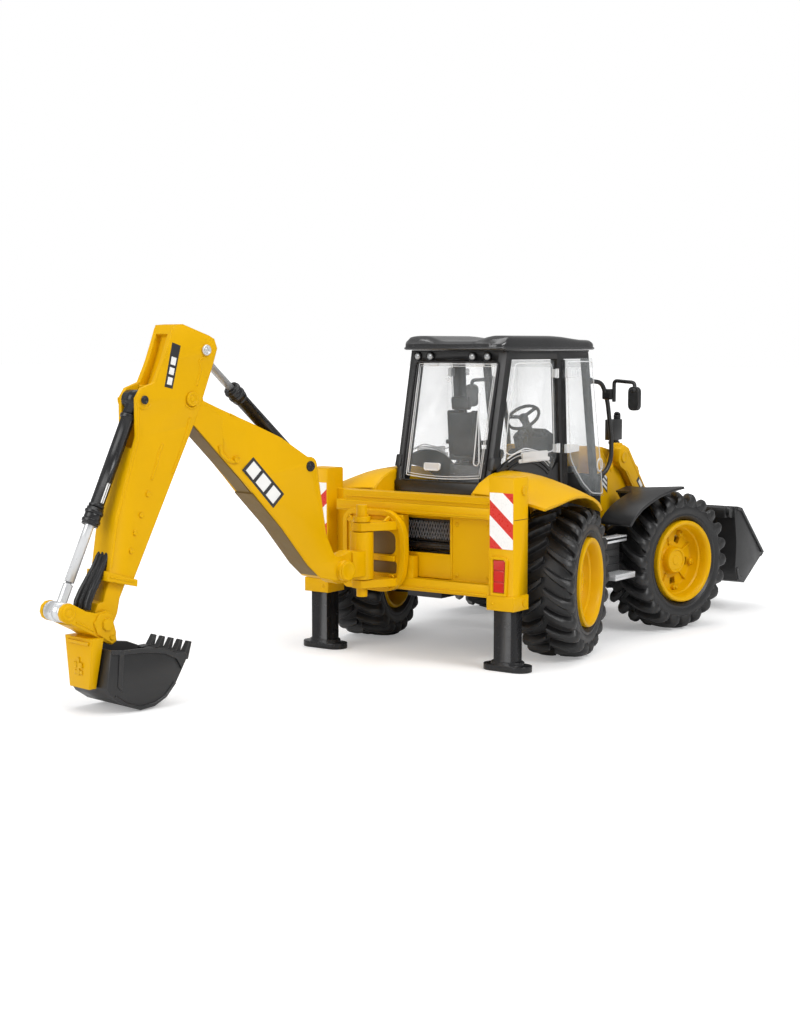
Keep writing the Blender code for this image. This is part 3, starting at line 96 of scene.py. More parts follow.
def feed(tree, node, inputs):
    """Fills inputs given by name or index: sockets are linked, other values are stored."""
    for key, value in inputs.items():
        if isinstance(value, bpy.types.NodeSocket):
            tree.links.new(value, node.inputs[key])
        else:
            node.inputs[key].default_value = value


def add(tree, kind, inputs=None, **settings):
    node = tree.nodes.new(kind)
    for key, value in settings.items():
        setattr(node, key, value)
    feed(tree, node, inputs or {})
    return node


def calc(tree, operation, *values, **settings):
    inputs = dict(enumerate(values))
    return add(tree, "ShaderNodeMath", inputs, operation=operation, **settings).outputs[0]


def object_coord(tree):
    return add(tree, "ShaderNodeTexCoord").outputs["Object"]


def noise(tree, coord, scale, detail=3.0, rough=0.55):
    inputs = {"Scale": scale, "Detail": detail, "Roughness": rough, "Vector": coord}
    return add(tree, "ShaderNodeTexNoise", inputs).outputs["Fac"]


def span(tree, source, old, new):
    """Maps the range old of a value onto the range new."""
    inputs = {"Value": source, "From Min": old[0], "From Max": old[1],
              "To Min": new[0], "To Max": new[1]}
    return add(tree, "ShaderNodeMapRange", inputs).outputs["Result"]


def spread(tree, source, low=0.0, high=1.0):
    """Maps the busy middle of a noise onto low..high."""
    return span(tree, source, old=(0.3, 0.7), new=(low, high))


def mixed(tree, factor, first, second):
    first, second = ((*c, 1.0) if isinstance(c, tuple) else c for c in (first, second))
    inputs = {0: factor, 6: first, 7: second}
    return add(tree, "ShaderNodeMix", inputs, data_type="RGBA").outputs[2]


def bump(tree, height, strength, distance, **more):
    inputs = {"Strength": strength, "Distance": distance, "Height": height, **more}
    return add(tree, "ShaderNodeBump", inputs).outputs["Normal"]


def tone(colour, gain):
    return tuple(min(1.0, c * gain) for c in colour)


# ---------------------------------------------------------------- materials
def moulded(name, colour, rough, grain=0.12, grain_scale=1500.0, tint=0.05, wear=0.3, worn=None,
            metal=0.0, coat=0.0, spec=0.5):
    """Moulded plastic: fine grain, slow colour drift, polished and paler edges.

    grain is the bump's strength, tint the share of colour drift, and wear how far the edges
    go over to the worn colour.
    """
    mat, tree, shader = new_material(name)
    coord = object_coord(tree)
    fine = noise(tree, coord, scale=grain_scale, detail=2.0)
    broad = noise(tree, coord, scale=24.0, detail=4.0)
    scuff = noise(tree, coord, scale=160.0, detail=5.0, rough=0.7)
    base = mixed(tree, spread(tree, broad), tone(colour, 1 - tint), tone(colour, 1 + tint))

    # Edges are where the rounded normal leaves the true one.
    true_normal = add(tree, "ShaderNodeNewGeometry").outputs["Normal"]
    edge_normal = add(tree, "ShaderNodeBevel", {"Radius": 0.0006}, samples=3).outputs["Normal"]
    match = add(tree, "ShaderNodeVectorMath", {0: edge_normal, 1: true_normal},
                operation="DOT_PRODUCT").outputs["Value"]
    edges = span(tree, match, old=(0.995, 0.86), new=(0.0, 1.0))
    patches = span(tree, scuff, old=(0.35, 0.6), new=(0.25, 1.0))
    edges = calc(tree, "MULTIPLY", edges, patches)
    paler = worn or tuple(min(1.0, c * 1.12 + 0.03) for c in colour)
    polish = calc(tree, "MULTIPLY", edges, -0.08)
    feed(tree, shader, {
        "Base Color": mixed(tree, calc(tree, "MULTIPLY", edges, wear), base, paler),
        "Roughness": calc(tree, "ADD", spread(tree, scuff, rough - 0.04, rough + 0.06), polish),
        "Metallic": metal,
        "Specular IOR Level": spec,
        "Coat Weight": coat,
        "Coat Roughness": 0.12,
        "Normal": bump(tree, fine, strength=grain, distance=0.0002, Normal=edge_normal),
    })
    return mat


def clear_plastic(name, low=0.015, high=0.36, tint=(0.50, 0.53, 0.54), rough=0.06):
    """Clear pane with faint flow lines; its opacity runs from low when faced to high grazed, a
    painted reflection that lets its tint show most at glancing angles.
    """
    mat, tree, shader = new_material(name)
    coord = object_coord(tree)
    flow = noise(tree, coord, scale=30.0)
    fine = noise(tree, coord, scale=700.0, detail=2.0)
    facing = add(tree, "ShaderNodeLayerWeight", {"Blend": 0.32}).outputs["Facing"]
    # opacity rising towards grazing angles is painted reflection
    opacity = span(tree, facing, old=(0.0, 1.0), new=(low, high))
    streaks = span(tree, flow, old=(0.45, 0.75), new=(0.0, 0.06))
    feed(tree, shader, {
        "Alpha": calc(tree, "ADD", opacity, streaks, use_clamp=True),
        "Base Color": mixed(tree, spread(tree, flow), tint, tone(tint, 1.1)),
        "Roughness": spread(tree, fine, rough, rough + 0.05),
        "IOR": 1.55,
        "Coat Weight": 0.25,
        "Coat Roughness": 0.03,
        "Normal": bump(tree, flow, strength=0.12, distance=0.0004),
    })
    return mat


HAZARD_Y = (60.1, 75.9)  # inner and outer edge of a hazard plate
STRIPE_SLOPE = 0.87
STRIPE_PITCH = 20.7
STRIPE_START = 91.5


def striped(name, side):
    """Red and white hazard stripes, descending towards the machine's outer side."""
    mat, tree, shader = new_material(name)
    coord = object_coord(tree)
    place = add(tree, "ShaderNodeSeparateXYZ", {0: coord}).outputs
    # height + slope * (distance out from the plate's inner edge), in metres
    shift = (-HAZARD_Y[0] * STRIPE_SLOPE - ORIGIN.y * STRIPE_SLOPE * side) * 0.001
    out = calc(tree, "MULTIPLY_ADD", place["Y"], STRIPE_SLOPE * side, shift)
    climb = calc(tree, "ADD", out, place["Z"])
    count = calc(tree, "MULTIPLY_ADD", climb, 1000.0 / STRIPE_PITCH, -STRIPE_START / STRIPE_PITCH)
    is_red = span(tree, calc(tree, "FRACT", count), old=(0.425, 0.435), new=(1.0, 0.0))
    fine = noise(tree, coord, scale=900.0, detail=2.0)
    red = mixed(tree, spread(tree, fine), (0.62, 0.022, 0.014), (0.66, 0.028, 0.018))
    white = mixed(tree, spread(tree, fine), (0.86, 0.86, 0.85), (0.89, 0.89, 0.88))
    feed(tree, shader, {
        "Base Color": mixed(tree, is_red, white, red),
        "Roughness": spread(tree, fine, 0.25, 0.36),
    })
    return mat


LOOKS = {
    "yellow": moulded("yellow_plastic", (0.69, 0.375, 0.0), rough=0.34, grain=0.06, tint=0.035,
                      worn=(0.84, 0.50, 0.004), spec=0.14),
    "black": moulded("black_plastic", (0.014, 0.014, 0.0145), rough=0.36, grain=0.16, tint=0.12,
                     wear=0.45, worn=(0.11, 0.11, 0.115)),
    "gloss": moulded("gloss_black_plastic", (0.013, 0.013, 0.014), rough=0.24, grain=0.05,
                     tint=0.1, wear=0.4, worn=(0.10, 0.10, 0.105), spec=0.4),
    "roof": moulded("roof_plastic", (0.018, 0.018, 0.019), rough=0.17, grain=0.05, tint=0.08,
                    coat=0.25, worn=(0.12, 0.12, 0.125)),
    "rubber": moulded("tyre_rubber", (0.011, 0.011, 0.0115), rough=0.42, grain=0.3,
                      grain_scale=1000.0, tint=0.16, wear=0.45, worn=(0.085, 0.085, 0.085)),
    "silver": moulded("silver_plastic", (0.66, 0.67, 0.68), rough=0.30, grain=0.08,
                      grain_scale=2600.0, metal=0.55, worn=(0.85, 0.85, 0.86)),
    "grey": moulded("grey_plastic", (0.20, 0.20, 0.21), rough=0.42, grain=0.14, tint=0.08),
    # yellow plastic darkened to painted shade, laid along seams, in pockets and under the boom
    "painted_shade": moulded("shadow_yellow", (0.1428, 0.0798, 0.0042), rough=0.5, grain=0.1, tint=0.08,
                     wear=0.1),
    "red": moulded("lens_red", (0.55, 0.018, 0.012), rough=0.16, grain=0.05, tint=0.08, wear=0.2,
                   coat=0.7, worn=(0.8, 0.15, 0.1)),
    "lens": moulded("lens_clear", (0.42, 0.43, 0.44), rough=0.12, grain=0.1, tint=0.1, metal=0.4,
                    coat=0.8),
    "film": moulded("film_dark", (0.022, 0.022, 0.024), rough=0.3, grain=0.05, tint=0.1,
                    wear=0.1),
    "film_pale": moulded("film_pale", (0.80, 0.80, 0.78), rough=0.3, grain=0.05, tint=0.03,
                         wear=0.1),
    "clear": clear_plastic("clear_plastic"),
    # near-white, mostly opaque clear plastic for the beads and blocks on the panes: painted sheen
    # of light caught in clear edges
    "outline": clear_plastic("clear_edge_sheen", low=0.38, high=0.8, tint=(0.93, 0.95, 0.97),
                             rough=0.10),
    "stripe_right": striped("hazard_right", -1),
    "stripe_left": striped("hazard_left", 1),
}


def by_name(groups):
    """Turns {value: "name name"} into {name: value}."""
    return {name: value for value, names in groups.items() for name in names.split()}


# ---------------------------------------------------------------- shapes (millimetres)
def extruded(low_points, high_points, turn=None):
    mesh = bmesh.new()
    low = [mesh.verts.new(p) for p in low_points]
    high = [mesh.verts.new(p) for p in high_points]
    mesh.faces.new(list(reversed(low)))
    mesh.faces.new(high)
    count = len(low)
    for i in range(count):
        j = (i + 1) % count
        mesh.faces.new((low[i], low[j], high[j], high[i]))
    if turn is not None:
        mesh.transform(turn)
    bmesh.ops.recalc_face_normals(mesh, faces=mesh.faces)
    return mesh


def prism(outline, start, end, plane=XZ):
    """A flat outline with thickness from start to end along the plane's own axis."""
    flip = -1.0 if plane is XZ else 1.0
    low, high = sorted((start * flip, end * flip))
    return extruded([(x, y, low) for x, y in outline], [(x, y, high) for x, y in outline], plane)


def plate(outline, start, end):
    """An outline in X and Z, thick from start to end along Y."""
    low, high = sorted((start, end))
    return extruded([(x, low, z) for x, z in outline], [(x, high, z) for x, z in outline])


def block(*ranges):
    """A box between two values on each of X, Y and Z."""
    ranges = [sorted(pair) for pair in ranges]
    mesh = bmesh.new()
    bmesh.ops.create_cube(mesh, size=1.0)
    centre = [(low + high) / 2 for low, high in ranges]
    size = [high - low for low, high in ranges]
    mesh.transform(Matrix.Translation(centre) @ Matrix.Diagonal((*size, 1.0)))
    bmesh.ops.recalc_face_normals(mesh, faces=mesh.faces)
    return mesh


def aim(centre, axis=None):
    """A frame at centre with Z along axis, which is otherwise Y away from the middle plane."""
    axis = axis or (0, math.copysign(1, centre[1]), 0)
    turn = Vector((0, 0, 1)).rotation_difference(Vector(axis))
    return Matrix.Translation(centre) @ turn.to_matrix().to_4x4()


def bar(start, end, radius, sides=24, end_radius=None):
    start, end = Vector(start), Vector(end)
    mesh = bmesh.new()
    bmesh.ops.create_cone(mesh, cap_ends=True, segments=sides, radius1=radius,
                          radius2=end_radius or radius, depth=(end - start).length)
    mesh.transform(aim((start + end) / 2, tuple(end - start)))
    return mesh


def lathe(profile, steps, at=None):
    """(radius, height) points turned about Z; a closed loop unless its ends are on the axis."""
    mesh = bmesh.new()
    on_axis = profile[0][0] < 1e-6 and profile[-1][0] < 1e-6
    verts = [mesh.verts.new((radius, 0, height)) for radius, height in profile]
    for i in range(len(verts) - on_axis):
        mesh.edges.new((verts[i], verts[(i + 1) % len(verts)]))
    bmesh.ops.spin(mesh, geom=mesh.verts[:] + mesh.edges[:], cent=(0, 0, 0), axis=(0, 0, 1),
                   steps=steps, angle=2 * math.pi, use_merge=True)
    bmesh.ops.remove_doubles(mesh, verts=mesh.verts, dist=1e-4)
    bmesh.ops.recalc_face_normals(mesh, faces=mesh.faces)
    if at is not None:
        mesh.transform(at)
    return mesh


def loft(rings, closed=False):
    """Skins a row of equal rings; unless the row is closed its ends are capped."""
    mesh = bmesh.new()
    rings = [[mesh.verts.new(p) for p in ring] for ring in rings]
    count, sides = len(rings), len(rings[0])
    for i in range(count if closed else count - 1):
        here, there = rings[i], rings[(i + 1) % count]
        for k in range(sides):
            j = (k + 1) % sides
            mesh.faces.new((here[k], here[j], there[j], there[k]))
    if not closed:
        mesh.faces.new(list(reversed(rings[0])))
        mesh.faces.new(rings[-1])
    bmesh.ops.recalc_face_normals(mesh, faces=mesh.faces)
    return mesh


def sweep(points, radius, sides=10, closed=False):
    """A round section carried along a line; radius is one value or a list, one for each point."""
    points = [Vector(p) for p in points]
    count = len(points)
    rings = []
    across = None
    for i, point in enumerate(points):
        if closed:
            along = points[(i + 1) % count] - points[i - 1]
        else:
            along = points[min(i + 1, count - 1)] - points[max(i - 1, 0)]
        along.normalize()
        if across is None:
            upright = Vector((0, 0, 1)) if abs(along.z) < 0.9 else Vector((1, 0, 0))
            across = along.cross(upright).normalized()
        else:
            across = (across - along * across.dot(along)).normalized()
        up = across.cross(along)
        size = radius[i] if isinstance(radius, list) else radius
        turns = [2 * math.pi * k / sides for k in range(sides)]
        rings.append([point + across * math.cos(t) * size + up * math.sin(t) * size
                      for t in turns])
    return loft(rings, closed)


def rail(points, y, radius, sides=12, closed=False):
    """A round bead along (x, z) points at one y."""
    return sweep([(x, y, z) for x, z in points], radius, sides, closed)


def arc(centre, radius, degrees, high_radius=None):
    """Points on an arc; high_radius is the second radius of an ellipse."""
    high_radius = high_radius or radius
    return [(centre[0] + radius * math.cos(math.radians(a)),
             centre[1] + high_radius * math.sin(math.radians(a))) for a in degrees]


def rounded(points, reach, steps=4, closed=True):
    """Corners of a 2-D or 3-D line replaced by small curves."""
    points = [Vector(p) for p in points]
    count = len(points)
    result = []
    for i, corner in enumerate(points):
        if not closed and i in (0, count - 1):
            result.append(corner)
            continue
        back, ahead = points[i - 1] - corner, points[(i + 1) % count] - corner
        trim = min(reach, back.length * 0.48, ahead.length * 0.48)
        start = corner + back.normalized() * trim
        end = corner + ahead.normalized() * trim
        for k in range(steps + 1):
            t = k / steps
            result.append(start * (1 - t) ** 2 + corner * 2 * t * (1 - t) + end * t ** 2)
    return [tuple(p) for p in result]


def mirrored(points, side):
    return [(side * y, z) for y, z in points]


def at_y(point, y):
    return (point[0], y, point[1])


def boss(centre, radius, height, recess=0.5, axis=None):
    """A round boss with a dished top."""
    floor_height = height * (1 - recess)
    profile = [(0, floor_height), (radius * 0.55, floor_height), (radius * 0.68, height),
               (radius * 0.92, height), (radius, height * 0.85), (radius, -0.4), (0, -0.4)]
    return lathe(profile, 28, aim(centre, axis))


def screw(centre, radius, height, axis=None):
    """The three shapes of a cross-headed screw: a domed head with two crossing bars."""
    profile = [(0, height), (radius * 0.5, height * 0.95), (radius * 0.85, height * 0.6),
               (radius, 0.0), (radius, -0.3), (0, -0.3)]
    long, thin = (-radius * 0.6, radius * 0.6), (-0.16, 0.16)
    rise = (height * 0.7, height + 0.08)
    shapes = [lathe(profile, 20), block(long, thin, rise), block(thin, long, rise)]
    for shape in shapes:
        shape.transform(aim(centre, axis))
    return shapes


def pin_head(centre, radius, height=0.9):
    profile = [(0, height), (radius * 0.35, height), (radius * 0.42, height * 0.6),
               (radius * 0.58, height * 0.6), (radius * 0.66, height),
               (radius * 0.9, height * 0.9), (radius, height * 0.4), (radius, -0.3), (0, -0.3)]
    return lathe(profile, 28, aim(centre))


def bars_across(quad, spans, inset):
    """Four-cornered bars laid over a quad.

    spans are shares of the way from its first edge to the opposite one, and inset is the
    share left bare at each end of a bar.
    """
    first, second, third, fourth = (Vector(corner) for corner in quad)
    bars = []
    for start, end in spans:
        corners = ((start, inset), (start, 1 - inset), (end, 1 - inset), (end, inset))
        bars.append([first.lerp(fourth, t).lerp(second.lerp(third, t), h) for t, h in corners])
    return bars


# ---------------------------------------------------------------- pieces
def link_mesh(name, shape):
    mesh = bpy.data.meshes.new(name)
    shape.to_mesh(mesh)
    shape.free()
    obj = bpy.data.objects.new(name, mesh)
    bpy.context.scene.collection.objects.link(obj)
    return obj


def soften_edges(obj, width, segments, angle):
    mod = obj.modifiers.new("edges", "BEVEL")
    mod.width = width * 0.001
    mod.segments = segments
    mod.limit_method = "ANGLE"
    mod.angle_limit = math.radians(angle)
    mod.use_clamp_overlap = True


def shade(obj, angle):
    obj.data.shade_smooth()
    obj.data.set_sharp_from_angle(angle=math.radians(angle))


class Piece:
    """Shapes gathered into one mesh object that rides on one body."""

    def __init__(self, name, look, body="base", place=BASE, bevel=0.25, angle=32, segments=2):
        self.name, self.look, self.body, self.place = name, look, body, place
        self.bevel, self.angle, self.segments = bevel, angle, segments
        self.mesh = bmesh.new()

    def put(self, *shapes, at=None):
        for shape in shapes:
            if at is not None:
                shape.transform(at)
            mesh = bpy.data.meshes.new("t")
            shape.to_mesh(mesh)
            shape.free()
            self.mesh.from_mesh(mesh)
            bpy.data.meshes.remove(mesh)
        return self

    def cut(self, *tools):
        """Subtracts shapes from what has been put so far."""
        target = link_mesh("tmp_a", self.mesh)
        for tool in tools:
            other = link_mesh("tmp_b", tool)
            mod = target.modifiers.new("cut", "BOOLEAN")
            mod.operation, mod.solver, mod.object = "DIFFERENCE", "EXACT", other
            bpy.context.view_layer.update()
            evaluated = target.evaluated_get(bpy.context.evaluated_depsgraph_get())
            mesh = bpy.data.meshes.new_from_object(evaluated)
            target.modifiers.clear()
            target.data = mesh
            bpy.data.objects.remove(other)
        self.mesh = bmesh.new()
        self.mesh.from_mesh(target.data)
        bpy.data.objects.remove(target)

    def done(self, *replaced):
        self.mesh.transform(self.place)
        obj = link_mesh(self.name, self.mesh)
        shade(obj, self.angle)
        obj.data.materials.append(LOOKS[self.look])
        if self.bevel:
            soften_edges(obj, self.bevel, self.segments, self.angle)
        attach(obj, self.body)
        if replaced:
            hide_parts(*replaced)


def arm_piece(name, look, body, **options):
    return Piece(name, look, body, ARM, **options)


# ---------------------------------------------------------------- carried-over CAD nodes
# Both tables leave out the _left or _right at the end of a name. Other nodes are yellow.
CAD_LOOKS = by_name({
    "black": """backhoe_bucket front_bucket cab_frame chassis_frame dashboard exhaust_stack
        front_fender grab_rail mirror rear_grille seat steering_wheel knuckle_front
        knuckle_rear lift_barrel""",
    "gloss": "stabiliser_leg bucket_cylinder_barrel dipper_cylinder_barrel",
    "roof": "cab_roof",
    "rubber": "tyre_front tyre_rear",
    "silver": "steps bucket_cylinder_tube bucket_cylinder_rod dipper_cylinder_rod lift_rod",
    "clear": "windscreen rear_window side_window door",
    "grey": "engine_block",
})
CAD_BEVELS = by_name({
    1.2: "bonnet",
    1.0: "seat dashboard",
    0.9: "boom",
    0.8: "dipper loader_arms loader_tower",
    0.7: "rear_frame cab_frame",
    0.6: "swing_post bucket_hitch dipper_extension chassis_frame engine_block",
    0.5: "rear_body_shell stabiliser_leg exhaust_stack",
    0.4: "front_bucket backhoe_bucket steps",
    0.35: "front_fender",
    0.3: "door",
})


def dress_cad():
    for name, obj in NODES.items():
        kind = name.removesuffix("_left").removesuffix("_right")
        obj.data.materials.clear()
        obj.data.materials.append(LOOKS[CAD_LOOKS.get(kind, "yellow")])
        obj.modifiers.new("weld", "WELD").merge_threshold = 0.000002
        if kind in CAD_BEVELS:
            soften_edges(obj, CAD_BEVELS[kind], segments=2, angle=40)
        shade(obj, 35)


# ---------------------------------------------------------------- wheels
LUG_COUNT = 22
BOLT_COUNT = 5
TREAD_RADIUS = 45.0

# Stations from the crown over the shoulder to the side wall: outer radius and offset, inner
# radius and offset, degrees swept back, width, then crest and foot half-widths as shares of it
LUG_STATIONS = [
    (45.7, 0.6, 40.8, 0.6, 0.0, 3.3, 0.3, 0.6),
    (46.0, 3.5, 40.7, 3.5, 3.2, 4.0, 0.3, 0.6),
    (46.0, 7.5, 40.6, 7.5, 6.6, 4.5, 0.3, 0.6),
    (45.8, 11.0, 40.3, 11.0, 9.3, 5.0, 0.28, 0.62),
    (45.2, 14.2, 39.4, 13.5, 11.4, 5.6, 0.22, 0.7),
    (44.2, 16.6, 38.6, 14.9, 12.8, 6.2, 0.15, 0.82),
    (42.6, 18.0, 38.0, 15.8, 13.6, 6.5, 0.1, 0.9),
    (40.8, 18.5, 37.4, 16.4, 14.0, 6.2, 0.08, 0.95),
    (39.0, 18.5, 36.9, 16.8, 14.2, 4.8, 0.08, 0.95),
    (37.6, 18.3, 36.4, 17.0, 14.3, 2.8, 0.1, 0.85),
    (36.9, 18.0, 36.2, 17.1, 14.3, 0.9, 0.12, 0.8),
]
# (radius, offset) from bead to crown on the outer half of the tyre
TYRE_HALF = [
    (27.5, 14.2), (28.3, 15.6), (29.6, 16.3), (30.4, 17.1), (31.2, 17.1), (31.8, 16.7),
    (34.0, 17.5), (36.2, 17.4), (38.0, 16.5), (39.6, 14.6), (40.7, 11.8), (41.2, 8.0),
    (41.4, 3.0),
]
# (radius, offset) from the hub cap over the dished disc and rolled lip, back through the barrel
RIM_PROFILE = [
    (0.0, 10.5), (3.0, 10.5), (3.4, 10.1), (6.4, 10.1), (6.9, 10.9), (8.0, 10.8), (8.7, 9.9),
    (8.9, 6.0), (9.7, 5.2), (18.4, 4.4), (19.8, 4.6), (20.7, 5.6), (21.7, 10.6), (22.7, 11.4),
    (23.4, 15.4), (24.2, 17.3), (25.2, 18.2), (26.4, 18.3), (27.1, 17.6), (27.2, 16.6),
    (27.2, -15.6), (26.7, -16.5), (25.5, -16.5), (25.1, -4.0), (20.0, 1.6), (6.5, 1.6),
    (6.5, -2.0), (3.5, -2.0), (3.5, 8.0), (0.0, 8.0),
]
RIM_BOLT = [(0, 8.0), (0.9, 8.0), (1.1, 7.4), (1.7, 7.4), (2.1, 7.0), (2.3, 3.6), (0, 3.6)]
RIM_STUD = [(0, 6.4), (0.8, 6.4), (1.2, 5.9), (1.3, 4.0), (0, 4.0)]


def lug(face, angle, hand):
    """One curved lug on the half of the tread given by face."""
    rings = []
    for outer_r, outer_t, inner_r, inner_t, swept, width, crest, foot in LUG_STATIONS:
        middle_angle = angle + hand * math.radians(swept)
        rise = (Vector((outer_r, outer_t)) - Vector((inner_r, inner_t))).normalized()
        flank = 0.45 * foot + 0.55 * crest + 0.08
        ring = []
        # share of the width, and drop below the outer line; None lies on the inner line
        for share, drop in ((foot, None), (flank, 1.3), (crest, 0.1),
                            (-crest, 0.1), (-flank, 1.3), (-foot, None)):
            if drop is None:
                radius, offset = inner_r, inner_t
            else:
                radius, offset = outer_r - rise.x * drop, outer_t - rise.y * drop
            turn = middle_angle + share * width / TREAD_RADIUS
            ring.append((radius * math.cos(turn), radius * math.sin(turn), offset * face))
        rings.append(ring)
    return loft(rings)


def tyre(wheel, place, side):
    piece = Piece(f"tyre_{wheel}_lugged", "rubber", f"wheel_{wheel}", place, bevel=0, angle=34)
    piece.put(lathe(TYRE_HALF + [(r, -t) for r, t in reversed(TYRE_HALF)], 88))
    for k in range(LUG_COUNT):
        angle = 2 * math.pi * k / LUG_COUNT
        # The lugs of the inner half lie between those of the outer half.
        piece.put(lug(1, angle, -side), lug(-1, angle + math.pi / LUG_COUNT, -side))
    piece.done(f"tyre_{wheel}")


def rim(wheel, place):
    piece = Piece(f"rim_{wheel}_dished", "yellow", f"wheel_{wheel}", place, bevel=0.2, angle=38)
    piece.put(lathe(RIM_PROFILE, 72))
    pitch = 360 // BOLT_COUNT
    turns = [Matrix.Rotation(math.radians(pitch * k - 8), 4, "Z") for k in range(BOLT_COUNT)]
    window = rounded([(12.2, -2.3), (17.0, -2.8), (17.0, 2.8), (12.2, 2.3)], 0.6, 2)
    tools = [prism(window, -5, 9, XY) for _ in turns]
    for tool, turn in zip(tools, turns):
        tool.transform(turn)
    piece.cut(*tools)
    spoke = [(9.6, -0.7), (20.6, -0.5), (20.6, 0.5), (9.6, 0.7)]
    for k, turn in enumerate(turns):
        piece.put(lathe(RIM_BOLT, 20, Matrix.Translation((19.3, 0, 0))),
                  block((18.9, 19.7), (-1.0, 1.0), (7.9, 8.35)), at=turn)
        between = Matrix.Rotation(math.radians(pitch * (k + 0.5) - 8), 4, "Z")
        piece.put(prism(spoke, 4.2, 5.9, XY),
                  lathe(RIM_STUD, 14, Matrix.Translation((11.6, 0, 0))), at=between)
    piece.done(f"rim_{wheel}")


def wheels():
    for end in ("front", "rear"):
        for label, side in SIDES:
            place = wheel_frame(end, side)
            tyre(f"{end}_{label}", place, side)
            rim(f"{end}_{label}", place)


# ---------------------------------------------------------------- rear frame
# Tail light outlines: (distance from the middle plane, z)
LIGHT_OUTER = [(61.6, 67.4), (71.4, 67.4), (73.2, 65.6), (72.2, 44.6), (61.6, 44.6)]
LIGHT_HOLE = [(62.9, 65.8), (70.4, 65.8), (71.5, 64.6), (70.8, 46.2), (62.9, 46.2)]
LIGHT_BACK = [(63.1, 46.4), (70.6, 46.4), (71.2, 65.6), (63.1, 65.6)]
# Lens parts: bottom and top z, outer edge at the bottom and at the top
LENS_PARTS = ((59.7, 65.3, 70.6, 71.2), (53.0, 59.3, 70.5, 70.9), (46.6, 52.6, 70.2, 70.6))
LIGHT_X = -71.6
COLUMN_Y = 76.2
GRILLE_HALF = 27.7


def hazard_plate(label, side):
    piece = Piece(f"hazard_plate_{label}", f"stripe_{label}", bevel=0)
    piece.put(block((-71.88, LIGHT_X), [side * y for y in HAZARD_Y], (72.0, 104.5)))
    piece.done()


def tail_light(label, side):
    piece = Piece(f"tail_light_bezel_{label}", "yellow", bevel=0.35)
    piece.put(prism(mirrored(LIGHT_OUTER, side), -73.2, -71.4, YZ))
    piece.cut(prism(mirrored(LIGHT_HOLE, side), -76, -71.9, YZ))
    piece.done()
    piece = Piece(f"tail_light_lens_{label}", "red", bevel=0.3)
    for low, high, low_edge, high_edge in LENS_PARTS:
        part = [(63.3, low), (low_edge, low), (high_edge, high), (63.3, high)]
        piece.put(prism(mirrored(part, side), -72.75, LIGHT_X, YZ))
    piece.put(prism(mirrored(LIGHT_BACK, side), -72.2, LIGHT_X, YZ))
    piece.done()


def column_trim(label, side):
    """Cap, bosses and screw of a rear column, then a strip of painted shade along the seam on its
    outer face.
    """
    Piece(f"column_trim_{label}", "yellow", bevel=0.3).put(
        block((-71.4, -56.0), (side * 59.7, side * (COLUMN_Y - 0.3)), (112.8, 113.5)),
        boss((-60.6, side * COLUMN_Y, 105.6), 2.7, 0.9, 0.25),
        boss((-60.6, side * 77.0, 40.2), 2.4, 0.7, 0.25),
        *screw((-72.7, side * 62.6, 39.8), 1.3, 0.4, REARWARD),
    ).done()
    # thin strip of painted shade along the seam
    Piece(f"column_seam_{label}", "painted_shade", bevel=0).put(
        block((-71.3, -56.1), (side * 76.1, side * 76.28), (88.7, 89.05))).done()


def frame_trim():
    piece = Piece("rear_frame_trim", "yellow", bevel=0.3)
    piece.put(
        block((-70.9, -70.2), (-58.6, 46.0), (97.0, 98.2)),
        block((-72.7, -72.0), (-58.6, 50.6), (89.5, 90.6)),
        block((-72.8, -72.0), (-58.6, 50.6), (43.8, 45.0)),
        # web plate below the grille
        block((-66.4, -64.4), (-30.0, 44.0), (50.6, 65.4)),
        # raised edges along the top and one side of the right-hand panel
        block((-66.6, -65.6), (-59.2, -29.6), (87.2, 88.4)),
        block((-66.5, -65.7), (-30.3, -29.0), (50.8, 88.4)),
    )
    for y in (-55.6, -33.4):
        for z in (53.6, 83.6):
            piece.put(*screw((-66.0, y, z), 1.5, 0.5, REARWARD))
    piece.done()


def grille():
    width = (-GRILLE_HALF, GRILLE_HALF)
    piece = Piece("grille_surround", "gloss")
    piece.put(block((-60.2, -58.2), width, (83.9, 85.4)),
              block((-60.2, -58.2), width, (72.0, 73.2)),
              bar((-60.4, -27.6, 69.0), (-60.4, 27.6, 69.0), 2.6, 28))
    for y in (-27.3, 0.0, 27.3):
        piece.put(block((-60.0, -58.2), (y - 0.5, y + 0.5), (64.4, 85.2)))
    piece.put(block((-60.6, -58.2), width, (64.3, 66.0)))
    piece.done()
    # Each mesh row is two zigzags in opposite phase.
    piece = Piece("grille_mesh", "grey", bevel=0)
    for row in (75.9, 81.2):
        for phase in (0, 1):
            zigzag = [(-59.6 - 0.25 * phase, -27.4 + k * 1.957,
                       row + (2.5 if (k + phase) % 2 else -2.5)) for k in range(29)]
            piece.put(sweep(zigzag, 0.62, 6))
    piece.done()


# ---------------------------------------------------------------- side-shift carriage
# Outlines of (y, z) on the rear face, and one of (x, y) for the slew lugs
CARRIAGE_EDGE = [
    (43.0, 44.0), (41.0, 42.0), (12.0, 41.0), (4.0, 43.0), (-1.5, 50.0), (-3.5, 64.0),
    (-3.0, 77.0), (1.0, 86.0), (9.0, 90.5), (38.0, 90.5), (43.0, 86.0),
]
CARRIAGE_INSET = [
    (39.8, 46.5), (12.6, 44.4), (6.0, 46.2), (1.6, 51.6), (-0.2, 64.2), (0.2, 76.2),
    (3.4, 83.6), (10.0, 87.2), (37.0, 87.2), (39.8, 84.6),
]
UPPER_POCKET = [(4.2, 66.4), (7.0, 63.6), (25.0, 63.6), (25.0, 78.0), (8.0, 78.0), (4.2, 75.4)]
LOWER_POCKET = [(3.6, 52.4), (26.0, 52.4), (26.0, 59.8), (3.2, 59.8)]
UPPER_SHADOW = [(4.4, 66.6), (7.0, 63.8), (24.8, 63.8), (24.8, 77.8), (8.0, 77.8), (4.4, 75.2)]
LOWER_SHADOW = [(3.8, 52.6), (25.8, 52.6), (25.8, 59.6), (3.4, 59.6)]
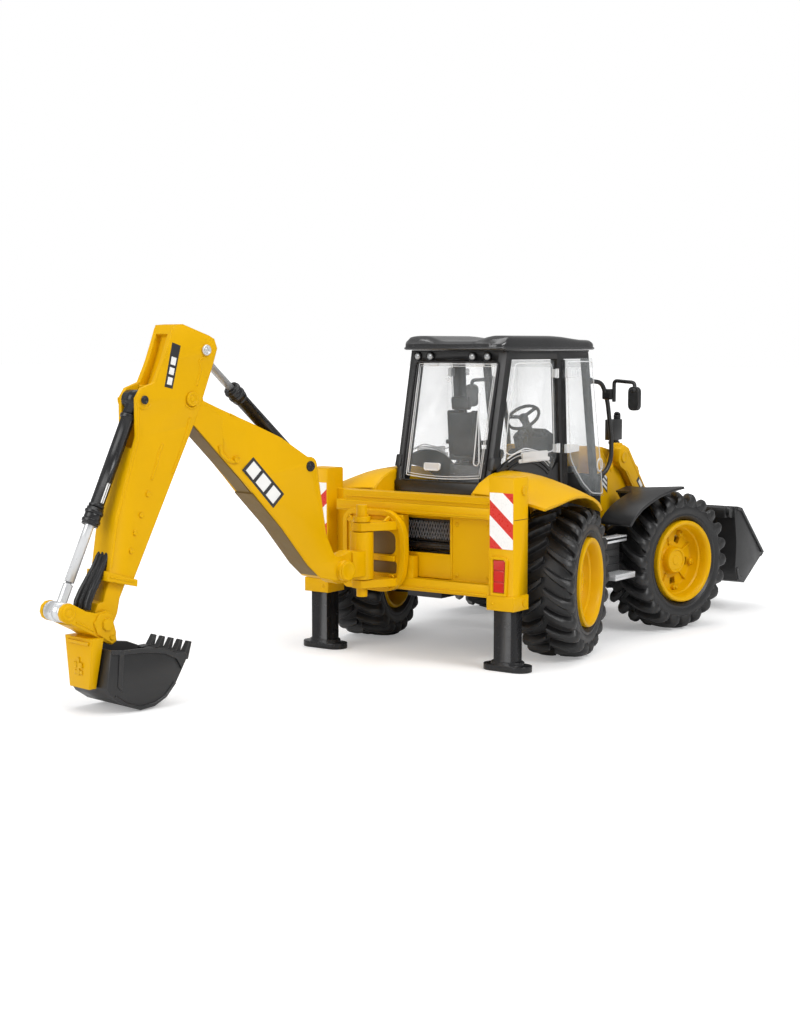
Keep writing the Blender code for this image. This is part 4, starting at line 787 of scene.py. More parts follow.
SLEW_LUG = [
    (-74.5, 2.0), (-81.0, 3.2), (-88.0, 6.5), (-95.0, 10.2), (-99.0, 12.6), (-99.9, 16.0),
    (-99.0, 19.4), (-95.0, 21.8), (-88.0, 26.5), (-81.0, 34.2), (-74.5, 37.4),
]


def carriage():
    piece = Piece("carriage_plate", "yellow", "side_shift_carriage", bevel=0.6, segments=3)
    piece.put(prism(rounded(CARRIAGE_EDGE, 5.0), -77.5, -72.8, YZ))
    piece.cut(prism(rounded(CARRIAGE_INSET, 3.5), -80, -76.2, YZ),
              prism(rounded(UPPER_POCKET, 2.4), -80, -74.6, YZ),
              prism(rounded(LOWER_POCKET, 2.0), -80, -74.6, YZ))
    piece.put(block((-73.5, -66.8), (1.0, 39.0), (50.9, 88.0)),
              block((-72.3, -66.9), (-5.9, 1.6), (49.9, 63.4)),
              prism(SLEW_LUG, 45.4, 50.2, XY),
              prism(SLEW_LUG, 79.4, 84.4, XY))
    # gussets above and below the slew lugs
    for y in (8.0, 24.0):
        for gusset in ([(-76.5, 84.0), (-76.5, 88.2), (-84.0, 84.2)],
                       [(-76.5, 45.6), (-76.5, 43.0), (-82.0, 45.6)]):
            piece.put(prism(gusset, y - 0.9, y + 0.9))
    piece.cut(bar((SLEW_X, SLEW_Y, 40), (SLEW_X, SLEW_Y, 95), 3.3, 32))
    for y, z in ((7.0, 84.4), (37.6, 84.4), (36.6, 47.0), (6.4, 50.2)):
        piece.put(boss((-76.4, y, z), 2.1, 1.7, 0.3, REARWARD))
    # bridge between the pockets
    piece.put(block((-78.6, -74.5), (4.0, 14.0), (60.2, 63.4)))
    piece.done("side_shift_carriage")
    Piece("carriage_shadow_gap", "painted_shade", "side_shift_carriage", bevel=0).put(
        prism(rounded(UPPER_SHADOW, 2.2), -74.75, -74.55, YZ),
        prism(rounded(LOWER_SHADOW, 1.8), -74.75, -74.55, YZ),
    ).done()


# ---------------------------------------------------------------- backhoe arm (ARM frame)
# Hinge pins at (x, z): the dipper ram's two ends, the elbow, the bucket ram's two ends, the bucket
DIPPER_RAM_BASE, DIPPER_RAM_ROD = (48.5, 120.7), (123.6, 186.7)
ELBOW = (133.5, 160.8)
BUCKET_RAM_BASE, BUCKET_RAM_ROD = (164.8, 161.0), (214.5, 54.5)
BUCKET_PIN = (191.6, 46.5)

# Outlines and lines of (x, z)
LATCH_HOOK = [(113.6, 135.0), (112.2, 130.4), (108.0, 127.0), (104.4, 125.6), (102.6, 126.8)]
BOOM_LABEL = [(98.9, 121.1), (90.9, 127.9), (68.4, 106.0), (76.6, 98.6)]
DIPPER_LABEL = [(145.9, 190.8), (140.4, 189.0), (146.2, 166.4), (151.4, 167.6)]
HEAD_POCKET = [
    (143.2, 194.0), (156, 199), (168, 178), (160, 168.0), (152.8, 168.6), (147.6, 181.0),
]
HEAD_CURL = [(130.0, 168.0), (126.6, 176.4), (128.2, 181.4), (124.4, 183.2)]
HOSE_LINE = [
    (182.6, 84.6), (186.4, 80.6), (189.8, 74.0), (193.4, 68.4), (197.0, 62.8), (199.6, 57.8),
    (200.2, 54.2),
]
HOSE_RADII = [1.8, 1.8, 1.85, 2.0, 2.1, 2.1, 1.9]
HOSE_WEB = [
    (186.6, 80.0), (191.0, 74.0), (197.2, 64.0), (195.4, 60.6), (189.6, 68.6), (185.6, 75.0),
]


def pin_pair(name, look, body, pin, y, radius, height, bevel=0.1):
    """A pin's two heads, at y and -y."""
    heads = [pin_head(at_y(pin, side * y), radius, height) for side in (1, -1)]
    arm_piece(name, look, body, bevel=bevel).put(*heads).done()


def arm_label(body, quad, spans, inset):
    """A dark ground with pale bars on both sides of a member."""
    ground = arm_piece(f"{body}_label_ground", "film", body, bevel=0)
    bars = arm_piece(f"{body}_label_blocks", "film_pale", body, bevel=0)
    for side in (1, -1):
        ground.put(plate(quad, side * 7.9, side * 8.1))
        for outline in bars_across(quad, spans, inset):
            bars.put(plate(outline, side * 8.05, side * 8.2))
    ground.done()
    bars.done()


def boom_trim():
    # The hook follows the side member, which narrows towards the elbow.
    hook = [(x, 8.15 - max(0.0, min(1.0, (x - 92.0) / 20.0)) * 1.8, z)
            for x, z in rounded(LATCH_HOOK, 1.6, 4, False)]
    piece = arm_piece("boom_trim", "yellow", "boom", bevel=0.2)
    for side in (1, -1):
        piece.put(
            sweep([(x, side * y, z) for x, y, z in hook], 1.15, 12),
            boss((102.6, side * 7.2, 127.0), 2.0, 1.5, 0.3),
            boss((21.8, side * 10.9, 58.3), 5.6, 0.8, 0.3),
            # rolled lips along the edges of the side member
            rail([(71.0, 137.0), (90.0, 145.2), (106.0, 151.9)], side * 6.6, 0.625),
            rail([(36.6, 79.6), (40.4, 100.0), (43.9, 119.6)], side * 7.55, 0.6875),
            rail([(51.2, 65.6), (70.4, 88.0), (90.0, 108.0)], side * 7.55, 0.625),
            boss(at_y(ELBOW, side * 6.0), 5.6, 0.5, 0.2),
        )
    piece.done()


def dipper_shell():
    """The CAD dipper with a deep pocket cut in the back of its head."""
    source = NODES["dipper"]
    shell = bmesh.new()
    shell.from_mesh(source.data)
    bmesh.ops.remove_doubles(shell, verts=shell.verts, dist=1e-6)
    shell.transform(ARM.inverted() @ source.matrix_world)
    piece = arm_piece("dipper_shell", "yellow", "dipper", bevel=0.7, angle=40, segments=3)
    piece.put(shell)
    piece.cut(plate(HEAD_POCKET, -4.9, 4.9))
    piece.done("dipper")


def dipper_trim():
    piece = arm_piece("dipper_trim", "yellow", "dipper", bevel=0.2)
    for side in (1, -1):
        for x, z, radius in ((163.1, 111.9, 1.5), (167.8, 101.2, 1.4), (171.8, 92.1, 1.4),
                             (174.5, 82.9, 1.4)):
            piece.put(boss((x, side * 7.9, z), radius, 0.9, 0.1))
        y = side * 7.8
        piece.put(
            # edge rail, curl at the head, and a short separate rail
            rail([(146.9, 121.8), (141.2, 133.2), (137.2, 142.6), (134.6, 150.6)], y, 0.9375),
            rail(rounded(HEAD_CURL, 2.0, 4, False), y, 0.6875),
            rail([(160.6, 119.4), (157.2, 127.6), (155.4, 133.4), (153.0, 137.6)], y, 0.875),
            rail([(187.0, 75.0), (182.6, 99.8), (168.4, 141.2), (168.2, 158.0)],
                 side * 7.65, 0.625),
            rail([(145.0, 198.4), (151.0, 181.6)], side * 7.6, 0.5625),
            # arcs round the lower halves of the pins
            rail(arc(BUCKET_RAM_BASE, 4.6, range(-150, 30, 15)), side * 7.9, 0.625),
            rail(arc(ELBOW, 4.9, range(200, 340, 14)), side * 8.0, 0.625),
            pin_head(at_y(ELBOW, side * 8.8), 3.9),
            rail([(174.0, 66.6), (189.0, 70.6)], side * 9.3, 0.5),
        )
    piece.done()


def hose_guard():
    """Three hoses, fanning out downwards, joined by a web."""
    piece = arm_piece("hose_guard", "gloss", "dipper_extension", bevel=0.2)
    for y in (-3.0, 0.0, 3.0):
        line = [(x, y * (1 + 0.1 * k), z) for k, (x, z) in enumerate(HOSE_LINE)]
        piece.put(sweep(line, HOSE_RADII, 16))
    piece.put(plate(rounded(HOSE_WEB, 1.6, 3), -3.4, 3.4))
    piece.done()


def arm_details():
    boom_trim()
    pin_pair("boom_pin_heads", "gloss", "boom", DIPPER_RAM_BASE, 8.2, 3.0, 1.0)
    arm_label("boom", BOOM_LABEL, ((0.06, 0.30), (0.37, 0.63), (0.70, 0.94)), inset=0.14)
    dipper_shell()
    dipper_trim()
    pin_pair("dipper_head_pin", "silver", "dipper", DIPPER_RAM_ROD, 8.8, 2.9, 0.9)
    pin_pair("dipper_ram_pin", "gloss", "dipper", BUCKET_RAM_BASE, 8.8, 2.3, 0.5)
    arm_label("dipper", DIPPER_LABEL, ((0.30, 0.48), (0.54, 0.70), (0.76, 0.93)), inset=0.2)
    hose_guard()


# ---------------------------------------------------------------- rams (ARM frame)
# Gland rings: distance from the base pin, radius, height
DIPPER_GLAND = ((58.6, 4.1, 1.2), (62.0, 4.85, 1.6), (66.0, 4.85, 1.2), (67.6, 4.3, 1.0))
BUCKET_GLAND = ((9.0, 4.5, 2.0), (59.2, 4.2, 1.2), (62.6, 4.95, 1.6), (67.4, 4.95, 1.6),
                (69.6, 4.4, 1.0))


def along(base, end, distance, y=0.0):
    """The point at a distance from one pin towards another, and the direction."""
    start = Vector(at_y(base, 0))
    direction = (Vector(at_y(end, 0)) - start).normalized()
    return start + direction * distance + Vector((0, y, 0)), tuple(direction)


def gland(base, end, rings, bore):
    return [lathe([(radius, 0), (radius, height), (bore, height), (bore, 0)], 28,
                  aim(*along(base, end, distance))) for distance, radius, height in rings]


def rams():
    arm_piece("dipper_ram_gland", "black", "dipper_cylinder_barrel", bevel=0.15).put(
        *gland(DIPPER_RAM_BASE, DIPPER_RAM_ROD, DIPPER_GLAND, 3.0)).done()
    bucket_ram = (BUCKET_RAM_BASE, BUCKET_RAM_ROD)
    piece = arm_piece("bucket_ram_gland", "gloss", "bucket_cylinder_barrel", bevel=0.15)
    piece.put(*gland(*bucket_ram, BUCKET_GLAND, 3.3))
    # rib along each side of the barrel
    for y in (3.6, -3.6):
        piece.put(bar(along(*bucket_ram, 11, y)[0], along(*bucket_ram, 59, y)[0], 0.45, 8))
    piece.done()
    start, end = (along(BUCKET_RAM_ROD, BUCKET_RAM_BASE, d)[0] for d in (4.0, 14.8))
    arm_piece("bucket_rod_sleeve", "silver", "bucket_cylinder_rod", bevel=0.15).put(
        bar(start, end, 2.6)).done()
    # a thin pale block on each side of the barrel, 47 mm along from its base pin
    piece = arm_piece("bucket_ram_pad", "film_pale", "bucket_cylinder_barrel", bevel=0.1)
    for side in (1, -1):
        piece.put(block((-0.9, 0.9), (side * 3.2, side * 3.95), (0, 11)),
                  at=aim(*along(*bucket_ram, 47)))
    piece.done()


# ---------------------------------------------------------------- hitch, digging bucket (ARM frame)
HITCH_CHEEK = [
    (185.9, 37.4), (188.8, 36.0), (197.6, 42.0), (199.8, 47.6), (196.6, 52.0), (191.6, 52.6),
    (188.4, 51.0),
]
EYE_RING = [
    (0, 0.6), (1.4, 0.6), (1.8, 0.1), (3.2, 0.1), (3.6, 0.7), (4.6, 0.7), (5.0, 0.0),
    (5.0, -1.0), (0, -1.0),
]
TOOTH_ROOT = [(149.8, 18.6), (146.0, 25.2), (147.6, 27.6), (153.6, 27.4), (153.6, 25.4),
              (150.6, 20.4)]
TOOTH_POINT = [(149.6, 23.4), (145.6, 23.4), (142.2, 32.3), (144.0, 32.9)]
SIDE_CUTTER = [
    (146.2, 25.0), (160.0, 30.7), (172.8, 32.7), (186.0, 33.2), (194.4, 34.1), (194.4, 31.6),
    (186.0, 30.9), (172.8, 30.3), (160.6, 28.2), (148.4, 22.2),
]
BUCKET_SIDE_RAIL = [
    (153.9, 12.0), (160.2, 5.6), (167.2, 2.6), (176.4, 1.8), (185.4, 5.0), (192.4, 9.8),
]
TOOTH_COUNT = 5
TOOTH_PITCH = 7.6


def hitch():
    piece = arm_piece("hitch_trim", "yellow", "backhoe_bucket", bevel=0.2)
    for side in (1, -1):
        piece.put(
            plate(HITCH_CHEEK, side * 9.0, side * 10.0),
            # eight-sided bolt
            plate(arc(BUCKET_PIN, 3.3, range(22, 382, 45)), side * 9.8, side * 11.2),
            boss((188.8, side * 9.9, 39.6), 1.5, 0.9, 0.3),
            rail([(199.0, 43.6), (205.0, 47.0), (210.0, 49.6)], side * 9.1, 0.625),
        )
    piece.put(block((202.4, 203.6), (-9.4, 9.4), (36.6, 38.4)),
              block((201.4, 203.2), (-1.0, 1.0), (20.2, 29.6)))
    for side in (1, -1):
        piece.put(
            prism([(202.0, 24.2), (203.5, 24.2), (203.4, 27.2), (202.2, 25.6)], side, side * 3.6),
            prism([(201.9, 22.8), (203.2, 22.8), (203.0, 20.6), (201.8, 22.2)], side, side * 3.4),
        )
    piece.done()

    piece = arm_piece("hitch_eye_rings", "silver", "bucket_cylinder_rod", bevel=0.1)
    for side in (1, -1):
        place = Matrix.Translation(at_y(BUCKET_RAM_ROD, side * 6.3))
        piece.put(lathe(EYE_RING, 32, place @ Matrix.Rotation(math.radians(-90 * side), 4, "X")))
    place = Matrix.Translation(at_y(BUCKET_RAM_ROD, 0)) @ XZ
    piece.put(lathe([(5.4, -1.6), (5.4, 1.6), (4.6, 1.6), (4.6, -1.6)], 32, place))
    piece.done()
    pin_pair("hitch_pin_caps", "yellow", "backhoe_bucket", BUCKET_RAM_ROD, 9.1, 4.2, 0.8, 0.15)


def digging_teeth():
    piece = arm_piece("digging_teeth", "black", "backhoe_bucket", bevel=0.2)
    for k in range(TOOTH_COUNT):
        y = (k - (TOOTH_COUNT - 1) / 2) * TOOTH_PITCH
        point = prism(TOOTH_POINT, y - 2.6, y + 2.6)
        for vert in point.verts:
            if vert.co.z > 30:
                vert.co.y = y + (vert.co.y - y) * 0.62
        piece.put(prism(TOOTH_ROOT, y - 2.7, y + 2.7), point)
    # lip bar, then side cutters and rails, then wear ribs
    piece.put(prism([(146.0, 24.6), (147.2, 21.6), (149.4, 21.8), (148.6, 26.4)], -17.2, 17.2))
    for side in (1, -1):
        back_edge = [(186.6, 33.0), (189.6, 33.2), (191.0, 14.6), (188.4, 12.0)]
        piece.put(plate(SIDE_CUTTER, side * 16.8, side * 17.6),
                  plate(back_edge, side * 16.8, side * 17.7),
                  rail(BUCKET_SIDE_RAIL, side * 16.8, 0.875))
    for y in (-9.0, 0.0, 9.0):
        piece.put(rail([(150.0, 17.8), (154.0, 11.2), (160.4, 4.7), (167.2, 1.5)], y, 0.7, 8))
    piece.done()


# ---------------------------------------------------------------- roof
# (x, half-width) from the rear to the front of the roof
ROOF_WIDTHS = [(-23.5, 31.0), (-22.4, 35.2), (-19.0, 37.6), (0.0, 39.2), (30.0, 41.0),
               (80.0, 41.0), (85.4, 39.4), (88.0, 33.0)]
# (share of the half-width, share of the full rise)
EDGE_RISE = [(0.74, 1.0), (0.82, 1.0), (0.9, 0.97), (0.95, 0.9), (0.985, 0.74), (1.0, 0.5)]
ROOF_X = [-23.5, -23.1, -22.3, -21.0, -19.0, -16.0, -12.0, -8.0, -4.0, 0.0, 4.0, 8.0, 13.0, 18.0,
          24.0, 30.0, 38.0, 46.0, 54.0, 62.0, 69.0, 75.0, 80.0, 83.5, 85.8, 87.2, 88.0]
ROOF_SHARES = [-1.0, -0.985, -0.95, -0.9, -0.82, -0.74, -0.66, -0.56, -0.46, -0.36, -0.24, -0.12]
ROOF_SHARES += [0.0] + [-share for share in reversed(ROOF_SHARES)]
ROOF_RIM_Z = 187.3
ROOF_UNDER_Z = 186.35


def interpolate(table, x):
    for (x0, y0), (x1, y1) in zip(table, table[1:]):
        if x <= x1:
            return y0 + (y1 - y0) * (x - x0) / (x1 - x0)
    return table[-1][1]


def ease(t):
    t = min(1.0, max(0.0, t))
    return t * t * (3 - 2 * t)


def roof_top(x, share):
    """Roof height: two long swellings with a flat channel between them, low at both ends."""
    rise = 3.0 + 4.9 * ease((x + 23.5) / 9.0) - 2.4 * ease((x - 36.0) / 42.0)
    rise -= 2.4 * ease((x - 80.0) / 8.0)
    channel = -3.4 * (1 - ease((share - 0.30) / 0.38))
    channel *= ease((x + 24.5) / 6.0) * (1 - ease((x - 58.0) / 20.0))
    return ROOF_RIM_Z + (rise + channel) * interpolate(EDGE_RISE, share)


def roof():
    widths = [interpolate(ROOF_WIDTHS, x) for x in ROOF_X]
    mesh = bmesh.new()
    top = [[mesh.verts.new((x, width * share, roof_top(x, abs(share)))) for share in ROOF_SHARES]
           for x, width in zip(ROOF_X, widths)]
    low = [[mesh.verts.new((x, width * share, ROOF_UNDER_Z)) for share in ROOF_SHARES]
           for x, width in zip(ROOF_X, widths)]
    columns = range(len(ROOF_SHARES) - 1)
    for i in range(len(ROOF_X) - 1):
        top0, top1, low0, low1 = top[i], top[i + 1], low[i], low[i + 1]
        for j in columns:
            mesh.faces.new((top0[j], top1[j], top1[j + 1], top0[j + 1]))
            mesh.faces.new((low0[j], low0[j + 1], low1[j + 1], low1[j]))
        mesh.faces.new((top0[0], low0[0], low1[0], top1[0]))
        mesh.faces.new((top0[-1], top1[-1], low1[-1], low0[-1]))
    for j in columns:
        mesh.faces.new((top[0][j], top[0][j + 1], low[0][j + 1], low[0][j]))
        mesh.faces.new((top[-1][j], low[-1][j], low[-1][j + 1], top[-1][j + 1]))
    bmesh.ops.recalc_face_normals(mesh, faces=mesh.faces)
    lip = [(x, width + 0.1, ROOF_RIM_Z) for x, width in zip(ROOF_X, widths)]
    lip += [(x, -y, z) for x, y, z in reversed(lip)]
    piece = Piece("roof_shell", "roof", bevel=0, angle=48)
    piece.put(mesh, sweep(lip, 0.75, 8, closed=True)).done("cab_roof")


# ---------------------------------------------------------------- cab
PANE_ROWS, PANE_COLUMNS = 15, 13
PANE_THICKNESS = 1.3
PANE_TOP = 178.3
PANE_BOTTOM = 108.3
ARCH_CENTRE = (2.0, 70.0)  # (x, z) of the fender arch
# Outlines of (x, z)
SIDE_PANE = [(-21.6, 124.6), (-10.2, 178.2), (33.8, 178.2), (37.4, 122.6), (26.0, 121.6),
             (2.0, 126.0), (-14.0, 122.0)]
DOOR_EDGE = [(46.4, 178.8), (51.8, 117.6), (58.0, 109.8), (68.8, 99.8), (80.4, 92.6),
             (94.8, 91.2), (92.6, 104.0), (78.4, 178.8)]


def rear_x(z):
    """X of the cab's sloping rear face at height z."""
    return -34.5 + (z - 101.9) * (19.5 / 83.4)


def lamp_head(bezel, lens, centre, axis, radius):
    place = aim(centre, axis)
    bezel.put(lathe([(radius, -0.6), (radius, 1.1), (radius * 0.9, 1.5), (radius * 0.78, 1.5),
                     (radius * 0.72, 0.7), (0.0, 0.7), (0.0, -0.6)], 30, place))
    lens.put(lathe([(0.0, 1.5), (radius * 0.25, 1.45), (radius * 0.55, 1.2), (radius * 0.7, 0.9),
                    (radius * 0.7, 0.4), (0.0, 0.4)], 30, place))


def work_lights():
    bezels = Piece("work_light_bezels", "gloss", bevel=0.1)
    lenses = Piece("work_light_lenses", "lens", bevel=0)
    for y in (30.6, 21.0, -10.5, -21.6):
        lamp_head(bezels, lenses, (-15.1, y, 182.3), (-1, 0, -0.1), 3.0)
    bezels.put(block((-15.6, -14.8), (-33.6, 33.6), (185.0, 186.2)))
    bezels.done()
    lenses.done()


def cab_seals():
    """Gasket round the rear opening, ribs up the middle posts, gutters under the roof."""
    piece = Piece("cab_seals", "gloss", bevel=0)
    opening = rounded([(31.0, 179.0), (-31.0, 179.0), (-30.6, 105.6), (30.6, 105.6)], 2.5, 3)
    piece.put(sweep([(rear_x(z) - 0.3, y, z) for y, z in opening], 0.7, 8, closed=True))
    for side in (1, -1):
        for k in range(4):
            shift = -2.4 + 1.6 * k
            piece.put(sweep([(49.3 + shift, side * 40.0, 84.0), (48.0 + shift, side * 40.1, 112.0),
                             (44.4 + shift * 0.9, side * 40.1, 180.0)], 0.42, 8))
        piece.put(sweep([(-14.0, side * 35.9, 185.6), (40.0, side * 40.3, 185.6),
                         (76.6, side * 40.3, 185.6)], 0.55, 8))
    piece.done()


def rear_pane():
    """Bowed rear pane with a curved lower edge; returns its outline."""
    mesh = bmesh.new()
    grids = []
    for offset in (0.0, PANE_THICKNESS):
        grid = []
        for i in range(PANE_ROWS):
            t = i / (PANE_ROWS - 1)
            line = []
            for j in range(PANE_COLUMNS):
                share = -1 + 2 * j / (PANE_COLUMNS - 1)
                bow = 1 - share * share
                bottom = PANE_BOTTOM - 1.6 * bow
                z = bottom + (PANE_TOP - bottom) * t
                x = rear_x(z) + 1.2 + offset - 0.7 * bow
                line.append(mesh.verts.new((x, share * (28.0 + 1.2 * t), z)))
            grid.append(line)
        grids.append(grid)
    rear, front = grids
    for i in range(PANE_ROWS - 1):
        for j in range(PANE_COLUMNS - 1):
            mesh.faces.new((rear[i][j], rear[i][j + 1], rear[i + 1][j + 1], rear[i + 1][j]))
            mesh.faces.new((front[i][j], front[i + 1][j], front[i + 1][j + 1], front[i][j + 1]))
    rear_ring, front_ring = (
        grid[0] + [row[-1] for row in grid[1:]] + grid[-1][-2::-1]
        + [row[0] for row in grid[-2:0:-1]] for grid in grids)
    outline = [vert.co.copy() for vert in rear_ring]
    count = len(outline)
    for i in range(count):
        j = (i + 1) % count
        mesh.faces.new((rear_ring[i], rear_ring[j], front_ring[j], front_ring[i]))
    bmesh.ops.recalc_face_normals(mesh, faces=mesh.faces)
    piece = Piece("rear_window_pane", "clear", "rear_window", bevel=0, angle=40)
    piece.put(mesh).done("rear_window")
    return outline


def rear_pane_beads(outline):
    piece = Piece("rear_window_beads", "outline", "rear_window", bevel=0)
    middle = sum(outline, Vector()) / len(outline)
    for inset, radius in ((0.985, 0.38), (0.945, 0.26)):
        bead = [middle.lerp(point, inset) + Vector((-0.35, 0, 0)) for point in outline]
        piece.put(sweep(bead, radius, 6, closed=True))
    # teardrop wiper moulding: a loop drawn out to a tip
    loop = []
    for degrees in range(-200, 21, 20):
        sine, cosine = math.sin(math.radians(degrees)), math.cos(math.radians(degrees))
        loop.append((rear_x(118.5) - 0.2 + sine * 2.0 * 0.23, -23.8 + 2.0 * cosine,
                     118.5 + 2.0 * sine * 1.15))
    tip_x = rear_x(160.0) - 0.3
    piece.put(sweep([(tip_x, -19.2, 160.0), *loop, (tip_x, -19.9, 160.0)], 0.42, 8))
    # small ring with a stud
    x, y, z = rear_x(168.5), 5.0, 168.5
    turns = [2 * math.pi * k / 16 for k in range(16)]
    ring = [(x - 0.1, y + 1.7 * math.cos(t), z + 1.7 * math.sin(t)) for t in turns]
    piece.put(sweep(ring, 0.35, 8, closed=True), bar((x + 0.6, y, z), (x - 0.9, y, z), 0.7, 14))
    # grip
    grip = rounded([(13.8, 116.4), (2.0, 116.4), (2.6, 112.4), (13.2, 112.4)], 1.0, 3)
    piece.put(sweep([(rear_x(z) - 1.0, y, z) for y, z in grip], 0.45, 8, closed=True),
              prism(grip, rear_x(114.4) - 0.9, rear_x(114.4) + 0.6, YZ))
    # short bars at the top edge
    x = rear_x(176.6) + 0.4
    for side in (1, -1):
        piece.put(bar((x, side * 20.0, 177.4), (x, side * 14.0, 177.4), 1.0, 14))
    piece.done()


def side_window(label, side):
    y = side * 38.3
    piece = Piece(f"side_window_beads_{label}", "outline", bevel=0)
    piece.put(rail(rounded(SIDE_PANE, 4.0, 5), y, 0.42, 6, closed=True))
    for reach, radius in ((54.2, 0.45), (52.0, 0.32)):
        piece.put(rail(arc(ARCH_CENTRE, reach, range(56, 116, 4)), y, radius, 6))
    # catch block
    catch = [(-3.0, 117.6), (-3.0, 123.4), (27.0, 123.4), (27.0, 117.6)]
    foot = [(-6.0, 116.8), (-6.0, 119.2), (30.6, 119.2), (30.6, 116.8)]
    piece.put(prism(rounded(catch, 1.2, 3), y, y + side * 1.6),
              prism(rounded(foot, 0.8, 3), y, y + side * 0.9))
    # fixed halves of the hinges
    for z, x in ((171.6, 39.0), (124.2, 41.4)):
        piece.put(block((x - 5.6, x - 0.4), (side * 38.2, side * 40.6), (z - 2.6, z + 2.6)),
                  bar((x - 2.4, side * 40.6, z - 3.0), (x - 2.4, side * 40.6, z + 3.0), 1.1, 16))
    piece.done()


def fender_ribs(label, side):
    ribs = [rail(arc(ARCH_CENTRE, reach, range(54, 118, 4)), side * 38.35, 0.7, 8)
            for reach in (50.0, 47.4)]
    Piece(f"fender_arch_ribs_{label}", "gloss", bevel=0).put(*ribs).done()


def door(label, side):
    """Edge bead, two ribbed hinge straps and a latch ring."""
    piece = Piece(f"door_beads_{label}", "outline", f"door_{label}", bevel=0)
    piece.put(rail(rounded(DOOR_EDGE, 3.0), side * 42.0, 0.42, 6, closed=True))
    for z in (171.5, 123.5):
        strap = [(44.4, z - 2.9), (60.6, z - 2.2), (60.6, z + 2.2), (44.4, z + 2.9)]
        piece.put(prism(rounded(strap, 1.0, 3), side * 41.7, side * 43.4))
        for k in range(4):
            x, y = 48.0 + 3.2 * k, side * 43.3
            piece.put(bar((x, y, z - 2.1), (x, y, z + 2.1), 0.35, 8))
    latch = arc((90.0, 110.6), 3.4, range(0, 360, 20), high_radius=4.2)
    piece.put(rail(latch, side * 42.2, 0.6, 8, closed=True))
    piece.done()


# ---------------------------------------------------------------- cab interior
# Seat outlines of (x, z)
CUSHION = [(-8.0, 117.0), (-8.0, 121.2), (14.0, 122.0), (19.6, 123.4), (21.0, 121.0),
           (20.0, 117.0)]
CUSHION_BOLSTER = [(-8.0, 117.0), (-8.0, 124.4), (12.0, 124.2), (20.0, 123.0), (20.6, 119.0),
                   (18.0, 117.0)]
BACK_BOLSTER = [(-3.6, 122.0), (-8.6, 149.0), (-12.0, 148.4), (-9.6, 121.0)]
ARMREST = [(-9.0, 127.4), (8.0, 127.0), (10.4, 128.6), (8.0, 130.2), (-9.0, 130.0)]
SEAT_BACK = [(-5.6, 120.0), (-10.2, 148.0), (-12.6, 147.4), (-9.4, 120.0)]
HEADREST = [(-9.6, 149.6), (-11.0, 157.6), (-14.2, 156.8), (-13.0, 149.0)]
DASH_HOOD = [(71.0, 129.2), (86.4, 127.4), (87.0, 129.0), (73.2, 134.6), (70.4, 131.6)]
CONSOLE = [(-2.2, 121.0), (4.0, 125.0), (21.0, 125.0), (21.0, 122.6), (5.0, 122.6)]
LEVER_KNOB = [(0, 1.4), (0.9, 1.1), (1.3, 0.2), (0.9, -1.0), (0, -1.2)]
CONSOLE_Y = -30.0
LEVER_LEAN = 1.2


def seat():
    piece = Piece("seat_shell", "black", "seat", bevel=0.6, segments=3)
    piece.put(bar((6, 0, 114.9), (6, 0, 118.2), 5.0, 28),
              prism(rounded(CUSHION, 1.6, 3), -8.4, 8.4))
    for side in (1, -1):
        piece.put(prism(rounded(CUSHION_BOLSTER, 2.0, 3), side * 8.0, side * 11.6),
                  prism(rounded(BACK_BOLSTER, 2.0, 3), side * 7.2, side * 10.6),
                  prism(rounded(ARMREST, 1.0, 3), side * 11.2, side * 13.6))
    piece.put(prism(rounded(SEAT_BACK, 1.4, 3), -7.6, 7.6),
              prism(rounded(HEADREST, 1.5, 3), -6.2, 6.2))
    for side in (1, -1):
        piece.put(bar((-11.2, side * 3.0, 147.0), (-12.0, side * 3.0, 151.0), 0.8, 12))
    for z in (126.0, 131.0, 136.0, 141.0):
        x = -5.4 - (z - 120) * 0.165
        piece.put(bar((x, -7.0, z), (x, 7.0, z), 0.5, 8))
    piece.done("seat")


def dash():
    """Dashboard hood with three dials, and a side console with three levers."""
    piece = Piece("dash_trim", "gloss", bevel=0.3)
    piece.put(prism(rounded(DASH_HOOD, 1.2, 3), -10.0, 10.0))
    for y in (-6.4, 0.0, 6.4):
        piece.put(bar((72.4, y, 131.0), (70.6, y, 131.6), 2.0, 20))
    for x in (6.0, 11.0, 16.0):
        tip_x = x + LEVER_LEAN
        knob = Matrix.Translation((tip_x, CONSOLE_Y, 131.6))
        piece.put(bar((x, CONSOLE_Y, 123.6), (tip_x, CONSOLE_Y, 131.0), 0.6, 10),
                  lathe(LEVER_KNOB, 16, knob))
    piece.put(prism(rounded(CONSOLE, 0.6, 2), CONSOLE_Y - 3.4, CONSOLE_Y + 3.4))
    piece.done()


# ---------------------------------------------------------------- steps, towers, loader arms
TOWER_Y = 35.2
LOADER_Y = 40.1
# Outlines and lines of (x, z)
TOWER_RAIL = [(100.4, 72.0), (99.2, 100.0), (98.8, 119.6), (103.6, 119.6), (119.4, 103.6)]
LOADER_LABEL = [(149.0, 99.8), (169.0, 79.2), (165.2, 76.4), (145.4, 96.6)]
LOADER_TOP_RAIL = [(133.0, 117.2), (156.6, 90.4), (185.2, 70.4), (204.0, 64.4)]
LOADER_LOW_RAIL = [(131.4, 105.0), (149.0, 86.0), (165.0, 73.4), (182.6, 58.6), (199.6, 54.4)]
FERRULE = [(2.3, -0.8), (2.3, 0.4), (1.9, 1.2), (1.4, 1.2), (1.4, -0.8)]


